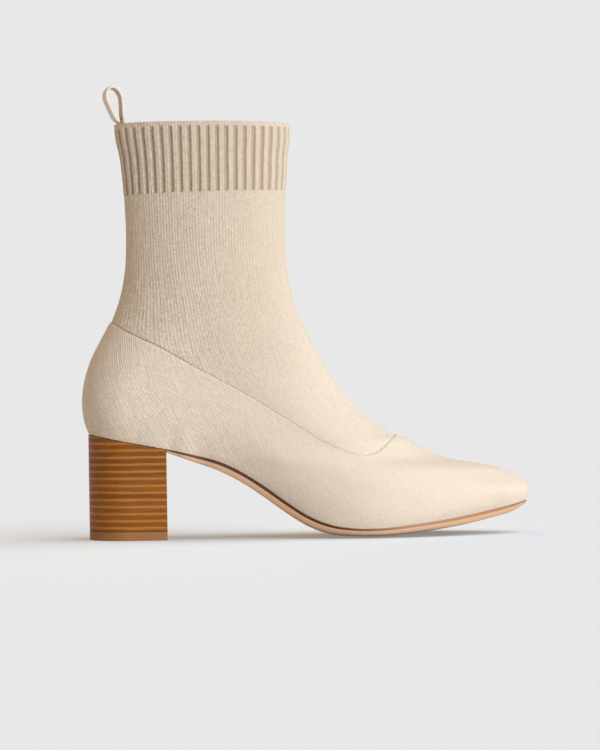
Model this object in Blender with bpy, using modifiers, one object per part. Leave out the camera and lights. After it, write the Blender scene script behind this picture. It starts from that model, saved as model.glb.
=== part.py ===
"""Knit ankle boot: ribbed sock shaft, foot panel, insole, outsole, block heel and pull loop.

Metres, +Z up. The toe points along +X and the outer side of this right boot faces -Y.
The origin is on the floor, at the centre of the heel's top piece.
"""

import bmesh
import bpy
import numpy as np

# Driving dimensions of the last
LENGTH = 0.2564  # back of the heel curve to the toe tip
BALL_WIDTH = 0.0786  # widest part of the upper
HEEL_WIDTH = 0.0570  # upper round the heel
HEEL_HEIGHT = 0.0605  # floor to the seat's edge at the back
BALL_HEIGHT = 0.0054  # floor to the feather edge beside the ball
TOE_SPRING = 0.0132  # rise of the feather edge from ball to toe tip
TOE_SWING = 0.0080  # sideways swing of the toe towards the inner side
INNER_BALL_SHIFT = 0.030  # how much further forward the inner ball lies, as a share of the foot
SHIFT_LEVELS = (0.625, 1.25)  # that shift is full below the first level and gone at the second
SWING_START = 0.55  # share of the foot from which the toe swings
HEEL_CURVE = 0.0267  # how far the heel bulges behind the ankle
SEAT_OVERHANG = 0.0033  # how far the upper's back stands out behind the heel

# Driving dimensions of the upper
ANKLE_LENGTH = 0.0915  # narrowest part of the shaft, back to front
COLLAR_LENGTH = 0.1008
COLLAR_WIDTH = 0.0520
COLLAR_HEIGHT = 0.2380  # at the back
COLLAR_DROP = 0.0010  # how much lower the collar is at the front
CUFF_BACK = 0.0412  # height of the ribbed cuff at the back
CUFF_FRONT = 0.0388
WELT_HEIGHT = 0.0028  # plain knitted top edge above the ribs
SEAM_HEIGHT = 0.1250  # floor to the seam at the back
THROAT_HEIGHT = 0.0578  # floor to the seam's tongue on the instep
WALL = 0.0020
SEAM_GAP = 0.0006
MARGIN = 0.0070  # upper turned under the foot and glued down
FEATHER_ROUND = 0.0012
TUCK_HEIGHT = 0.0270  # height over which the wall turns in to the feather edge at the waist
FAN = 1.5  # power by which the foot panel's columns spread towards the toe
RIBS = 44
RIB_DEPTH = 0.0009

# Driving dimensions of the bottom
SOLE_WIDTH = 0.0712  # feather edge to feather edge at the ball
SEAT_WIDTH = 0.0500
SOLE_THICKNESS = 0.0031  # under the ball
SEAT_END = 0.185  # share of the foot where the seat ends
SHANK_START = 0.240  # and where widths become shares of SOLE_WIDTH
BELLY = 0.0026  # how far the bottom hangs lower at the middle of the ball
BELLY_START = 0.30  # share of the foot
BELLY_FADE = 0.25
HEEL_LENGTH = 0.0458  # top piece, back to breast
BREAST_SKEW = 0.0028  # how much further back the breast lies on the inner side
HEEL_TAPER = 0.0008  # each side of the heel, top to bottom
TOP_PIECE_HEIGHT = 0.0050
INSOLE_THICKNESS = 0.0020
INSOLE_INSET = 0.0032  # edge of the insole, inside the feather edge
CLEARANCE = 0.0003
GLUE_LINE = 0.00045  # clearance square to the turned-under margin, and beside the loop's tape
BLUNT = 0.0001  # what a rounded solid stops short of its very end

# Driving dimensions of the pull loop
TAPE_WIDTH = 0.0100
TAPE_THICKNESS = 0.0015
LOOP_HEIGHT = 0.0222  # collar to the top of the loop
LOOP_REACH = 0.0115  # how far the loop leans out behind its root
LOOP_TAIL = 0.0120  # both ends sewn inside the collar

COLUMNS = RIBS  # one column of faces for each rib
BACK_X = -HEEL_LENGTH / 2 - SEAT_OVERHANG
TOE_X = BACK_X + LENGTH
ANKLE_BACK = BACK_X + HEEL_CURVE
ANKLE_FRONT = ANKLE_BACK + ANKLE_LENGTH
FLARE = COLLAR_LENGTH - ANKLE_LENGTH
COLLAR_FRONT = COLLAR_HEIGHT - COLLAR_DROP
BREAST_X = HEEL_LENGTH / 2


def table(names, *rows):
    """A short table as one array for each named column."""
    columns = np.array(rows, float).T
    return dict(zip(names.split(), columns))


# Back outline. level: 0 at the seat, 1 at the seam, 2 at the collar. curve: share of HEEL_CURVE,
# forward from the back of the heel. flare: share of FLARE, backward.
BACK = table(
    "level curve flare",
    (0.000, 0.130, 0.00),
    (0.110, 0.040, 0.00),
    (0.260, 0.000, 0.00),
    (0.400, 0.022, 0.00),
    (0.540, 0.098, 0.00),
    (0.680, 0.222, 0.00),
    (0.820, 0.398, 0.00),
    (0.960, 0.590, 0.00),
    (1.060, 0.765, 0.00),
    (1.140, 0.873, 0.00),
    (1.240, 0.955, 0.00),
    (1.420, 1.000, 0.00),
    (1.600, 1.000, 0.06),
    (1.750, 1.000, 0.19),
    (1.835, 1.000, 0.31),
    (1.917, 1.000, 0.52),
    (2.000, 1.000, 0.64),
)

# Front outline. level: 0 at the floor, 1 at the throat, 2 at the collar. reach: share of the
# way from the ankle's front to the toe tip. flare: share of FLARE, forward.
FRONT = table(
    "level reach flare",
    (0.320, 0.991, 0.00),
    (0.420, 1.000, 0.00),
    (0.470, 0.994, 0.00),
    (0.530, 0.972, 0.00),
    (0.600, 0.925, 0.00),
    (0.650, 0.878, 0.00),
    (0.690, 0.805, 0.00),
    (0.715, 0.750, 0.00),
    (0.738, 0.690, 0.00),
    (0.770, 0.641, 0.00),
    (0.870, 0.554, 0.00),
    (1.000, 0.440, 0.00),
    (1.040, 0.360, 0.00),
    (1.090, 0.281, 0.00),
    (1.145, 0.220, 0.00),
    (1.220, 0.157, 0.00),
    (1.300, 0.104, 0.00),
    (1.400, 0.045, 0.00),
    (1.480, 0.018, 0.00),
    (1.560, 0.003, 0.00),
    (1.660, 0.000, 0.00),
    (1.750, 0.000, 0.04),
    (1.840, 0.000, 0.17),
    (1.890, 0.000, 0.22),
    (1.945, 0.000, 0.36),
    (2.000, 0.000, 0.36),
)

# Seam between shaft and foot panel. along: share from its back end to the throat.
# drop: share of the height from its back end down to the throat.
SEAM = table(
    "along drop",
    (0.00, 0.000),
    (0.05, 0.078),
    (0.16, 0.205),
    (0.30, 0.400),
    (0.45, 0.598),
    (0.60, 0.820),
    (0.70, 0.974),
    (0.79, 1.093),
    (0.86, 1.155),
    (0.90, 1.165),
    (0.94, 1.130),
    (0.97, 1.075),
    (1.00, 1.000),
)

# Feather edge, where the upper turns under. along: share from heel to toe. rise: share of the
# seat's rise above the ball. spring: share of TOE_SPRING. outer and inner: half widths, as
# shares of the seat's up to the breast and of the ball's beyond it. tuck: share of TUCK_HEIGHT.
FEATHER = table(
    "along rise spring outer inner tuck",
    (0.000, 1.000, 0.00, 0.97, 0.97, 0.70),
    (0.100, 0.911, 0.00, 1.00, 1.00, 0.74),
    (0.185, 0.835, 0.00, 1.00, 0.98, 0.82),
    (0.240, 0.776, 0.00, 0.67, 0.63, 0.92),
    (0.300, 0.699, 0.00, 0.63, 0.55, 1.00),
    (0.350, 0.590, 0.00, 0.62, 0.505, 1.02),
    (0.400, 0.443, 0.00, 0.64, 0.49, 1.02),
    (0.450, 0.278, 0.00, 0.70, 0.51, 1.00),
    (0.500, 0.131, 0.00, 0.79, 0.57, 0.96),
    (0.550, 0.040, 0.00, 0.885, 0.68, 0.84),
    (0.600, 0.004, 0.00, 0.96, 0.80, 0.64),
    (0.660, 0.000, 0.00, 1.00, 0.94, 0.46),
    (0.740, 0.000, 0.14, 0.935, 0.995, 0.38),
    (0.820, 0.000, 0.335, 0.77, 0.87, 0.35),
    (0.900, 0.000, 0.60, 0.56, 0.635, 0.33),
    (0.960, 0.000, 0.83, 0.385, 0.42, 0.31),
    (1.000, 0.000, 1.00, 0.26, 0.27, 0.30),
)

# Outsole, level 0 at the heel breast and 1 at the toe. thick: share of SOLE_THICKNESS.
SOLE = table(
    "along thick",
    (0.00, 0.45),
    (0.12, 1.40),
    (0.28, 1.75),
    (0.40, 1.40),
    (0.48, 1.00),
    (0.70, 1.05),
    (0.88, 1.22),
    (0.96, 1.00),
    (1.00, 0.30),
)
SEAT_ROUND = 0.100  # share of the foot over which the seat is rounded
TIP_ROUND = 0.045

# Level sections of the upper. level as in FRONT. shaft: how far the section belongs to the
# shaft, whose widths are shares of COLLAR_WIDTH; the foot's are shares of HEEL_WIDTH (back and
# heel) and BALL_WIDTH. round_back and round_front: share of the section that each end takes.
SECTIONS = table(
    "level shaft round_back round_front back heel waist ball toe tip",
    (0.35, 0.0, 0.105, 0.050, 0.98, 0.98, 0.84, 1.00, 0.750, 0.30),
    (0.45, 0.0, 0.110, 0.075, 0.98, 0.98, 0.84, 0.99, 0.735, 0.34),
    (0.60, 0.0, 0.120, 0.190, 0.99, 0.99, 0.825, 0.950, 0.690, 0.38),
    (0.72, 0.0, 0.127, 0.220, 1.00, 1.00, 0.807, 0.905, 0.715, 0.48),
    (0.86, 0.0, 0.135, 0.245, 1.01, 1.01, 0.785, 0.850, 0.740, 0.60),
    (1.04, 0.0, 0.160, 0.290, 1.025, 1.025, 0.750, 0.785, 0.765, 0.66),
    (1.12, 0.0, 0.180, 0.330, 1.01, 1.01, 0.727, 0.725, 0.675, 0.57),
    (1.21, 0.0, 0.225, 0.380, 0.935, 0.935, 0.677, 0.655, 0.620, 0.58),
    (1.29, 0.5, 0.310, 0.440, 0.920, 0.920, 0.768, 0.760, 0.750, 0.745),
    (1.375, 1.0, 0.430, 0.500, 0.945, 0.945, 0.945, 0.945, 0.945, 0.945),
    (1.50, 1.0, 0.500, 0.500, 0.94, 0.94, 0.94, 0.94, 0.94, 0.94),
    (1.80, 1.0, 0.500, 0.500, 0.96, 0.96, 0.96, 0.96, 0.96, 0.96),
    (2.00, 1.0, 0.500, 0.500, 1.00, 1.00, 1.00, 1.00, 1.00, 1.00),
)
STATIONS = {"back": 0.0, "heel": 0.2, "waist": 0.45, "ball": 0.65, "toe": 0.85, "tip": 1.0}

# Pull loop's centre line. out: share of LOOP_REACH behind the tape's root. up: share of
# LOOP_HEIGHT above the collar.
LOOP = table(
    "out up",
    (0.00, -0.06),
    (0.06, 0.03),
    (0.19, 0.07),
    (0.34, 0.14),
    (0.50, 0.28),
    (0.72, 0.48),
    (0.88, 0.65),
    (0.90, 0.80),
    (0.75, 0.92),
    (0.48, 0.965),
    (0.18, 0.90),
    (-0.03, 0.76),
    (-0.10, 0.58),
    (-0.12, 0.38),
    (-0.13, 0.20),
    (-0.13, 0.05),
    (-0.13, -0.06),
)


def curve(xs, ys):
    """A smooth function through a few points, level beyond both ends."""
    xs, ys = np.asarray(xs, float), np.asarray(ys, float)
    step = np.diff(xs)
    slope = np.diff(ys) / step
    tangent = np.empty(len(xs))
    tangent[0], tangent[-1] = slope[0], slope[-1]
    tangent[1:-1] = (step[1:] * slope[:-1] + step[:-1] * slope[1:]) / (step[1:] + step[:-1])

    def value(x):
        x = np.clip(x, xs[0], xs[-1])
        i = np.clip(np.searchsorted(xs, x) - 1, 0, len(step) - 1)
        u = (x - xs[i]) / step[i]
        start = (1 + 2 * u) * (1 - u) ** 2 * ys[i] + u * (1 - u) ** 2 * step[i] * tangent[i]
        end = u * u * (3 - 2 * u) * ys[i + 1] - u * u * (1 - u) * step[i] * tangent[i + 1]
        return start + end

    return value


def blend(a, b, share):
    return a + (b - a) * share


def end_round(distance, reach):
    """1 away from an end, falling to 0 at it as a quarter ellipse does."""
    return np.sqrt(1 - (1 - np.clip(distance / reach, 0, 1)) ** 2)


def level_of(z, low, middle, high):
    """Height as a level: 0 at low, 1 at middle, 2 at high."""
    below = (z - low) / (middle - low)
    above = 1 + (z - middle) / (high - middle)
    return np.where(z < middle, below, above)


def back_level(z):
    return level_of(z, HEEL_HEIGHT, SEAM_HEIGHT, COLLAR_HEIGHT)


def front_level(z):
    return level_of(z, 0.0, THROAT_HEIGHT, COLLAR_HEIGHT)


back_curve = curve(BACK["level"], BACK["curve"])
back_flare = curve(BACK["level"], BACK["flare"])
front_reach = curve(FRONT["level"], FRONT["reach"])
front_flare = curve(FRONT["level"], FRONT["flare"])
seam_drop = curve(SEAM["along"], SEAM["drop"])
feather = {name: curve(FEATHER["along"], column) for name, column in FEATHER.items()}
sole_thick = curve(SOLE["along"], SOLE["thick"])
section = {name: curve(SECTIONS["level"], column) for name, column in SECTIONS.items()}
station_weight = {
    name: curve(list(STATIONS.values()), [float(name == other) for other in STATIONS])
    for name in STATIONS
}


def back_x(z):
    """Back outline of the upper at height z."""
    level = back_level(z)
    return BACK_X + HEEL_CURVE * back_curve(level) - FLARE * back_flare(level)


def front_x(z):
    """Front outline of the upper at height z, from the toe tip up over the instep."""
    level = front_level(z)
    return blend(ANKLE_FRONT, TOE_X, front_reach(level)) + FLARE * front_flare(level)


FOOT_BACK = float(back_x(HEEL_HEIGHT))
TIP_HEIGHT = BALL_HEIGHT + TOE_SPRING
FOOT_FRONT = float(front_x(TIP_HEIGHT))


def along_foot(x):
    return (x - FOOT_BACK) / (FOOT_FRONT - FOOT_BACK)


def centre_y(x):
    """The middle of the foot, which swings inwards from the ball to the toe."""
    return TOE_SWING * (np.clip(along_foot(x) - SWING_START, 0, None) / (1 - SWING_START)) ** 2


def feather_z(x):
    """Height of the feather edge: seat, arch, ball and toe spring."""
    s = along_foot(x)
    return BALL_HEIGHT + (HEEL_HEIGHT - BALL_HEIGHT) * feather["rise"](s) + TOE_SPRING * feather["spring"](s)


def feather_half(x, side):
    """Half width of the feather edge on the outer or inner side."""
    s = along_foot(x)
    forepart = np.clip((s - SEAT_END) / (SHANK_START - SEAT_END), 0, 1)
    half = blend(SEAT_WIDTH, SOLE_WIDTH, forepart) / 2
    return half * feather[side](s) * end_round(s, SEAT_ROUND) * end_round(1 - s, TIP_ROUND)


def steepness(x):
    """Upright thickness of a layer on the arch for each unit measured square to it."""
    step = 0.001
    return np.sqrt(1 + ((feather_z(x + step) - feather_z(x - step)) / (2 * step)) ** 2)


def bottom_z(x, y):
    """Underside of the upper, which hangs lowest at the middle of the ball."""
    s = along_foot(x)
    side = np.where(y < centre_y(x), feather_half(x, "outer"), feather_half(x, "inner"))
    across = np.clip(np.abs(y - centre_y(x)) / np.maximum(side, 1e-6), 0, 1)
    share = np.clip((s - BELLY_START) / BELLY_FADE, 0, 1) * np.clip((1 - s) / BELLY_FADE, 0, 1)
    return feather_z(x) - BELLY * share * (1 - across**2)


def wall_half(x, z, side):
    """Half width of the upper at a point of its side view."""
    back, front = back_x(z), front_x(z)
    t = np.clip((x - back) / (front - back), 0, 1)
    level = front_level(z)
    ends = end_round(t, section["round_back"](level)) * end_round(1 - t, section["round_front"](level))
    if side == "inner":
        full, gone = SHIFT_LEVELS
        shifted = np.clip((gone - level) / (gone - full), 0, 1)
        t = t - INNER_BALL_SHIFT * shifted * np.sin(np.pi * t) ** 2
    shaft = section["shaft"](level)
    width = 0
    for name in STATIONS:
        foot = HEEL_WIDTH if name in ("back", "heel") else BALL_WIDTH
        width = width + station_weight[name](t) * section[name](level) * blend(foot, COLLAR_WIDTH, shaft)
    wall = width / 2 * ends
    edge = np.minimum(feather_half(x, side), wall)
    tuck = TUCK_HEIGHT * feather["tuck"](along_foot(x))
    up = np.clip((z - feather_z(x)) / tuck, 0, 1)
    return blend(edge, wall, 1 - (1 - up) ** 2)


def heights_along(outline, low, high, shares):
    """Heights that divide an outline between two heights into these shares of its length."""
    z = np.linspace(low, high, 200)
    run = np.hypot(np.diff(outline(z)), np.diff(z))
    length = np.concatenate(([0], np.cumsum(run)))
    return np.interp(np.asarray(shares) * length[-1], length, z)


def equal_steps(count):
    """Shares from back to front and home again, whose steps are equal round the collar."""
    angle = np.linspace(0, 2 * np.pi, 721)
    run = np.hypot(COLLAR_LENGTH * np.diff(np.cos(angle)), COLLAR_WIDTH * np.diff(np.sin(angle)))
    length = np.concatenate(([0], np.cumsum(run)))
    return np.interp(np.arange(count) / count * length[-1], length, angle)


def ring_on_form(angle, x, z):
    """Points of one row of the upper. The outer side comes first, back to front."""
    outer = wall_half(x, z, "outer")
    inner = wall_half(x, z, "inner")
    half = np.where(angle < np.pi, -outer, inner)
    middle = np.isclose(np.sin(angle), 0, atol=1e-9)
    y = centre_y(x) + np.where(middle, 0, half)
    return np.column_stack((x, y, z))


def seam_z(t):
    return blend(SEAM_HEIGHT, THROAT_HEIGHT, seam_drop(t))


def panel_row(angle, share):
    """A row of the foot panel, from the feather edge (0) to the seam (1). Its columns spread
    out ahead of the throat, over the toe."""
    t = (1 - np.cos(angle)) / 2
    back = float(heights_along(back_x, HEEL_HEIGHT, SEAM_HEIGHT, [share])[0])
    front = float(heights_along(front_x, TIP_HEIGHT, THROAT_HEIGHT, [share])[0])
    throat_x = front_x(THROAT_HEIGHT)
    spread = t**FAN
    x = blend(back_x(back), throat_x, t) + (front_x(front) - throat_x) * spread
    edge_x = blend(FOOT_BACK, throat_x, t) + (FOOT_FRONT - throat_x) * spread
    up_back = (back - HEEL_HEIGHT) / (SEAM_HEIGHT - HEEL_HEIGHT)
    up_front = (front - TIP_HEIGHT) / (THROAT_HEIGHT - TIP_HEIGHT)
    z = blend(feather_z(edge_x), seam_z(t), blend(up_back, up_front, t))
    return ring_on_form(angle, x, z)


def shaft_row(angle, share):
    """A row of the plain shaft, from the seam (0) to the base of the cuff (1)."""
    t = (1 - np.cos(angle)) / 2
    back = blend(SEAM_HEIGHT, COLLAR_HEIGHT - CUFF_BACK, share)
    front = blend(THROAT_HEIGHT, COLLAR_FRONT - CUFF_FRONT, share)
    x = blend(back_x(back), front_x(front), t)
    cuff_z = blend(COLLAR_HEIGHT - CUFF_BACK, COLLAR_FRONT - CUFF_FRONT, t)
    return ring_on_form(angle, x, blend(seam_z(t), cuff_z, share))


def cuff_row(angle, share, rise=0.0):
    """A row of the cuff, from its base (0) to the collar (1), or a little above that."""
    t = (1 - np.cos(angle)) / 2
    back = COLLAR_HEIGHT - CUFF_BACK * (1 - share) + rise
    front = COLLAR_FRONT - CUFF_FRONT * (1 - share) + rise
    x = blend(back_x(back), front_x(front), t)
    return ring_on_form(angle, x, blend(back, front, t))


def inset(ring, distance):
    """A closed row moved inwards, level, by a distance."""
    ahead = np.roll(ring, -1, axis=0) - np.roll(ring, 1, axis=0)
    length = np.hypot(ahead[:, 0], ahead[:, 1])
    inward = np.column_stack((-ahead[:, 1], ahead[:, 0], np.zeros(len(ring)))) / length[:, None]
    return ring + inward * np.reshape(distance, (-1, 1))


def material(name, colour, roughness):
    made = bpy.data.materials.new(name)
    made.use_nodes = True
    shader = made.node_tree.nodes["Principled BSDF"]
    shader.inputs["Base Color"].default_value = (*colour, 1.0)
    shader.inputs["Roughness"].default_value = roughness
    return made


def place(name, mesh, finish):
    """A finished mesh as a named piece of the boot."""
    piece = bpy.data.objects.new(name, mesh)
    mesh.materials.append(finish)
    boot.objects.link(piece)
    return piece


def mesh_of(name, bm):
    bmesh.ops.recalc_face_normals(bm, faces=bm.faces)
    mesh = bpy.data.meshes.new(name)
    bm.to_mesh(mesh)
    bm.free()
    mesh.shade_smooth()
    mesh.set_sharp_from_angle(angle=np.radians(40))
    return mesh


def bridge(bm, lower, upper):
    """Faces between two closed rows. Where the upper has three points for each one of the
    lower, the three fan out of it."""
    count = len(lower)
    ratio = len(upper) // count
    for i in range(count):
        j = (i + 1) % count
        if ratio == 1:
            bm.faces.new((lower[i], lower[j], upper[j], upper[i]))
            continue
        before, after = upper[3 * i], upper[3 * i + 1]
        groove, following = upper[3 * i + 2], upper[(3 * i + 3) % len(upper)]
        bm.faces.new((lower[i], after, before))
        bm.faces.new((lower[i], groove, after))
        bm.faces.new((lower[i], lower[j], groove))
        bm.faces.new((lower[j], following, groove))


def walled(name, rows, finish, thin=()):
    """An open surface through rows, given its wall inwards. The rows named in thin hold a groove
    at every third point, where the wall is thinner and its inner face stays level."""
    bm = bmesh.new()
    rings = [[bm.verts.new(point) for point in row] for row in rows]
    for lower, upper in zip(rings, rings[1:]):
        bridge(bm, lower, upper)
    starts = np.cumsum([0, *(len(row) for row in rows)])
    piece = place(name, mesh_of(name, bm), finish)
    share = piece.vertex_groups.new(name="wall share")
    share.add(range(starts[-1]), 1.0, "REPLACE")
    for row in thin:
        share.add(range(starts[row] + 2, starts[row + 1], 3), 1 - RIB_DEPTH / WALL, "REPLACE")
    wall = piece.modifiers.new("Wall", "SOLIDIFY")
    wall.thickness = WALL
    wall.offset = -1.0
    wall.use_quality_normals = True
    wall.vertex_group = share.name
    return piece


def slab(name, edges, base_edges, top, base, across, finish):
    """A solid between two surfaces. Each row of edges holds both ends of one cross-section, seen
    from above; across holds shares from one end (-1) to the other (1)."""
    bm = bmesh.new()
    rings = []
    for (low, high), (base_low, base_high) in zip(edges, base_edges):
        top_points = [blend(low, high, (share + 1) / 2) for share in across]
        base_points = [blend(base_low, base_high, (share + 1) / 2) for share in across[::-1]]
        upper = [bm.verts.new((x, y, float(top(x, y)))) for x, y in top_points]
        lower = [bm.verts.new((x, y, float(base(x, y)))) for x, y in base_points]
        rings.append(upper + lower)
    for behind, ahead in zip(rings, rings[1:]):
        bridge(bm, behind, ahead)
    bm.faces.new(rings[0])
    bm.faces.new(rings[-1])
    return place(name, mesh_of(name, bm), finish)


def square_sections(xs, outer, inner):
    """Cross-sections square to X, from a half width on each side of the centre line."""
    low = np.column_stack((xs, centre_y(xs) - outer))
    high = np.column_stack((xs, centre_y(xs) + inner))
    return np.stack((low, high), axis=1)


def build_shaft(finish):
    """Sock shaft with its ribbed cuff and plain top edge, knitted whole."""
    crowns = equal_steps(COLUMNS)
    fine = equal_steps(6 * COLUMNS)
    rib = np.arange(COLUMNS)
    ribbed = fine[np.column_stack((6 * rib - 2, 6 * rib + 2, 6 * rib + 3)).ravel()]
    groove = np.tile((0.0, 0.0, RIB_DEPTH), COLUMNS)
    ledge = RIB_DEPTH / 2
    first = SEAM_GAP / 2 / (COLLAR_HEIGHT - CUFF_BACK - SEAM_HEIGHT)
    shares = (first, 0.04, 0.10, 0.18, 0.27, 0.36, 0.45, 0.54, 0.63, 0.72, 0.82, 0.91)
    rows = [shaft_row(crowns, share) for share in shares]
    rows.append(cuff_row(ribbed, 0.0, -ledge))
    rows.append(inset(cuff_row(ribbed, 0.0, ledge), groove))
    rows.append(inset(cuff_row(ribbed, 1.0, -WELT_HEIGHT - ledge), groove))
    rows.append(cuff_row(ribbed, 1.0, -WELT_HEIGHT + ledge))
    rows.append(cuff_row(ribbed, 1.0, -WALL / 4))
    rows.append(inset(cuff_row(ribbed, 1.0), np.full(len(ribbed), WALL / 4)))
    grooved = (len(rows) - 5, len(rows) - 4)
    return walled("knit_shaft", rows, finish, grooved)


def build_panel(finish):
    """Foot panel from the turned-under margin, round the feather edge, up to the seam."""
    angle = equal_steps(COLUMNS)
    end = 1 - SEAM_GAP / 2 / (SEAM_HEIGHT - HEEL_HEIGHT)
    edge = panel_row(angle, 0.0)
    rows = []
    for distance in (MARGIN, FEATHER_ROUND):
        row = inset(edge, np.full(len(edge), distance))
        row[:, 2] = bottom_z(row[:, 0], row[:, 1])
        rows.append(row)
    shares = (0.02, 0.06, 0.12, 0.20, 0.30, 0.41, 0.53, 0.65, 0.77, 0.87, end - 0.05, end)
    rows.extend(panel_row(angle, share) for share in shares)
    return walled("knit_vamp", rows, finish)


def tip_spaced(start, stop, count):
    """Places from start to stop, closer and closer together towards a rounded stop."""
    return blend(start, stop, 1 - np.linspace(1, 0, count) ** 2)


def build_insole(finish):
    """Insole that lies on the turned-under margin, inside the wall."""
    outline = inset(panel_row(equal_steps(COLUMNS), 0.0), INSOLE_INSET)[:, :2]
    outer = outline[1 : COLUMNS // 2]
    inner = outline[:COLUMNS // 2 : -1]
    edges = np.stack((outer, inner), axis=1)

    def base(x, y):
        return bottom_z(x, y) + (WALL + GLUE_LINE) * steepness(x)

    def top(x, y):
        return base(x, y) + INSOLE_THICKNESS * steepness(x)

    return slab("insole", edges, edges, top, base, np.linspace(-1, 1, 5), finish)


def build_outsole(finish):
    """Thin outsole from the heel breast to the toe, with a flat spot under the ball."""
    start = BREAST_X + CLEARANCE
    columns = panel_row(equal_steps(COLUMNS), 0.0)[1 : COLUMNS // 2 - 1, 0]
    columns = columns[columns > start]
    xs = np.concatenate(([start], columns, tip_spaced(columns[-1], FOOT_FRONT - BLUNT, 6)[1:]))
    edges = square_sections(xs, feather_half(xs, "outer"), feather_half(xs, "inner"))
    edges[0, 1, 0] -= BREAST_SKEW

    def top(x, y):
        return bottom_z(x, y) - GLUE_LINE * steepness(x)

    def base(x, y):
        share = (x - start) / (FOOT_FRONT - start)
        return max(top(x, y) - SOLE_THICKNESS * sole_thick(share), 0.0)

    across = np.sin(np.linspace(-np.pi / 2, np.pi / 2, 9))
    return slab("outsole", edges, edges, top, base, across, finish)


def heel_sections(lean):
    """Cross-sections of the heel, round at the back and straight at the breast."""
    round_part = tip_spaced(0.0, -HEEL_LENGTH / 2 + BLUNT, 9)[::-1]
    xs = np.concatenate((round_part, np.linspace(0.0, BREAST_X, 5)[1:]))
    half = (SEAT_WIDTH / 2 - lean) * end_round(xs + HEEL_LENGTH / 2, SEAT_WIDTH / 2 - lean)
    edges = square_sections(xs, half, half)
    edges[:, 1, 0] -= BREAST_SKEW * np.clip(xs / BREAST_X, 0, 1)
    return edges


def build_heel(finish):
    """Stacked block heel, whose top follows the seat."""

    def top(x, y):
        return bottom_z(x, y) - CLEARANCE

    def base(x, y):
        return TOP_PIECE_HEIGHT + CLEARANCE

    edges = heel_sections(CLEARANCE)
    base_edges = heel_sections(CLEARANCE + HEEL_TAPER)
    return slab("heel_block", edges, base_edges, top, base, np.linspace(-1, 1, 5), finish)


def build_top_piece(finish):
    """Rubber top piece under the heel."""

    def top(x, y):
        return TOP_PIECE_HEIGHT

    def base(x, y):
        return 0.0

    edges = heel_sections(CLEARANCE + HEEL_TAPER)
    return slab("heel_top_piece", edges, edges, top, base, np.linspace(-1, 1, 3), finish)


def loop_line():
    """Points along the middle of the tape, from one sewn end over the top to the other."""
    inner_end = COLLAR_WIDTH**2 / (2 * COLLAR_LENGTH) - WALL
    root = float(back_x(COLLAR_HEIGHT)) + WALL + GLUE_LINE + TAPE_WIDTH**2 / (8 * inner_end)
    knots = np.linspace(0, 1, len(LOOP["up"]))
    places = np.linspace(0, 1, 61)
    x = root + TAPE_THICKNESS / 2 - LOOP_REACH * curve(knots, LOOP["out"])(places)
    z = COLLAR_HEIGHT + LOOP_HEIGHT * curve(knots, LOOP["up"])(places)
    return np.column_stack((x, z))


def build_loop(finish):
    """Folded tape loop: a flat outline with a hole, stood up and drawn out to the tape's width."""
    line = loop_line()
    run = np.gradient(line, axis=0)
    left = np.column_stack((-run[:, 1], run[:, 0])) / np.hypot(*run.T)[:, None]
    outside = line + left * TAPE_THICKNESS / 2
    inside = line - left * TAPE_THICKNESS / 2
    tail = COLLAR_HEIGHT - LOOP_TAIL
    lean = float(back_x(tail) - back_x(COLLAR_HEIGHT))
    ends = ([outside[0, 0] + lean, tail], [outside[-1, 0] + lean, tail])
    outside = np.vstack((ends[0], outside, ends[1]))
    opening = inside[:, 1] > COLLAR_HEIGHT + TAPE_THICKNESS
    flat = bpy.data.curves.new("pull_loop_outline", "CURVE")
    flat.dimensions = "2D"
    flat.fill_mode = "BOTH"
    flat.extrude = TAPE_WIDTH / 2
    for outline in (outside, inside[opening]):
        spline = flat.splines.new("POLY")
        spline.points.add(len(outline) - 1)
        for point, (x, z) in zip(spline.points, outline):
            point.co = (x, z, 0, 1)
        spline.use_cyclic_u = True
    flat.materials.append(finish)
    piece = bpy.data.objects.new("pull_loop", flat)
    piece.rotation_euler = (np.pi / 2, 0, 0)
    boot.objects.link(piece)
    return piece


# Assembly
for thing in list(bpy.data.objects):
    bpy.data.objects.remove(thing)
boot = bpy.data.collections.new("knit_ankle_boot")
bpy.context.scene.collection.children.link(boot)

knit = material("cream_knit", (0.66, 0.55, 0.42), 0.85)
build_shaft(knit)
build_panel(knit)
build_insole(material("insole_board", (0.62, 0.50, 0.37), 0.7))
build_outsole(material("sole_edge", (0.52, 0.30, 0.17), 0.45))
build_heel(material("stacked_leather", (0.36, 0.17, 0.06), 0.4))
build_top_piece(material("top_piece_rubber", (0.33, 0.17, 0.09), 0.6))
build_loop(material("loop_tape", (0.62, 0.52, 0.40), 0.8))
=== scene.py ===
"""Dresses the knit ankle boot: the knitted foot panel and sock shaft, their seam, the insole, sole,
stacked heel and pull loop, on a pale floor in soft light. Metres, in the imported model's own frame.
"""

import bpy
import numpy as np
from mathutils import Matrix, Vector


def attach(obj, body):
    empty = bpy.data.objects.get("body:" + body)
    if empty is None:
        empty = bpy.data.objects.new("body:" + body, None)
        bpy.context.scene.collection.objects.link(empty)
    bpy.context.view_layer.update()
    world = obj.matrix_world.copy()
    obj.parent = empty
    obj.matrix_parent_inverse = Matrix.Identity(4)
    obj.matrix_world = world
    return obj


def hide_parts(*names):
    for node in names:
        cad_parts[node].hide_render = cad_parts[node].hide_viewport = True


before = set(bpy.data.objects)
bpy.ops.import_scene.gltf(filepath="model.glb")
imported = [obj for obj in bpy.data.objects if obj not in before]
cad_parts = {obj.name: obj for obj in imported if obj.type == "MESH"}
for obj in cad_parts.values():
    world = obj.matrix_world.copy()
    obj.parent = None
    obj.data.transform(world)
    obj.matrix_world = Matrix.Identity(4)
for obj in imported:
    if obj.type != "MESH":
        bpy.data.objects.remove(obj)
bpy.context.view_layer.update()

bpy.ops.object.select_all(action="DESELECT")

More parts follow.
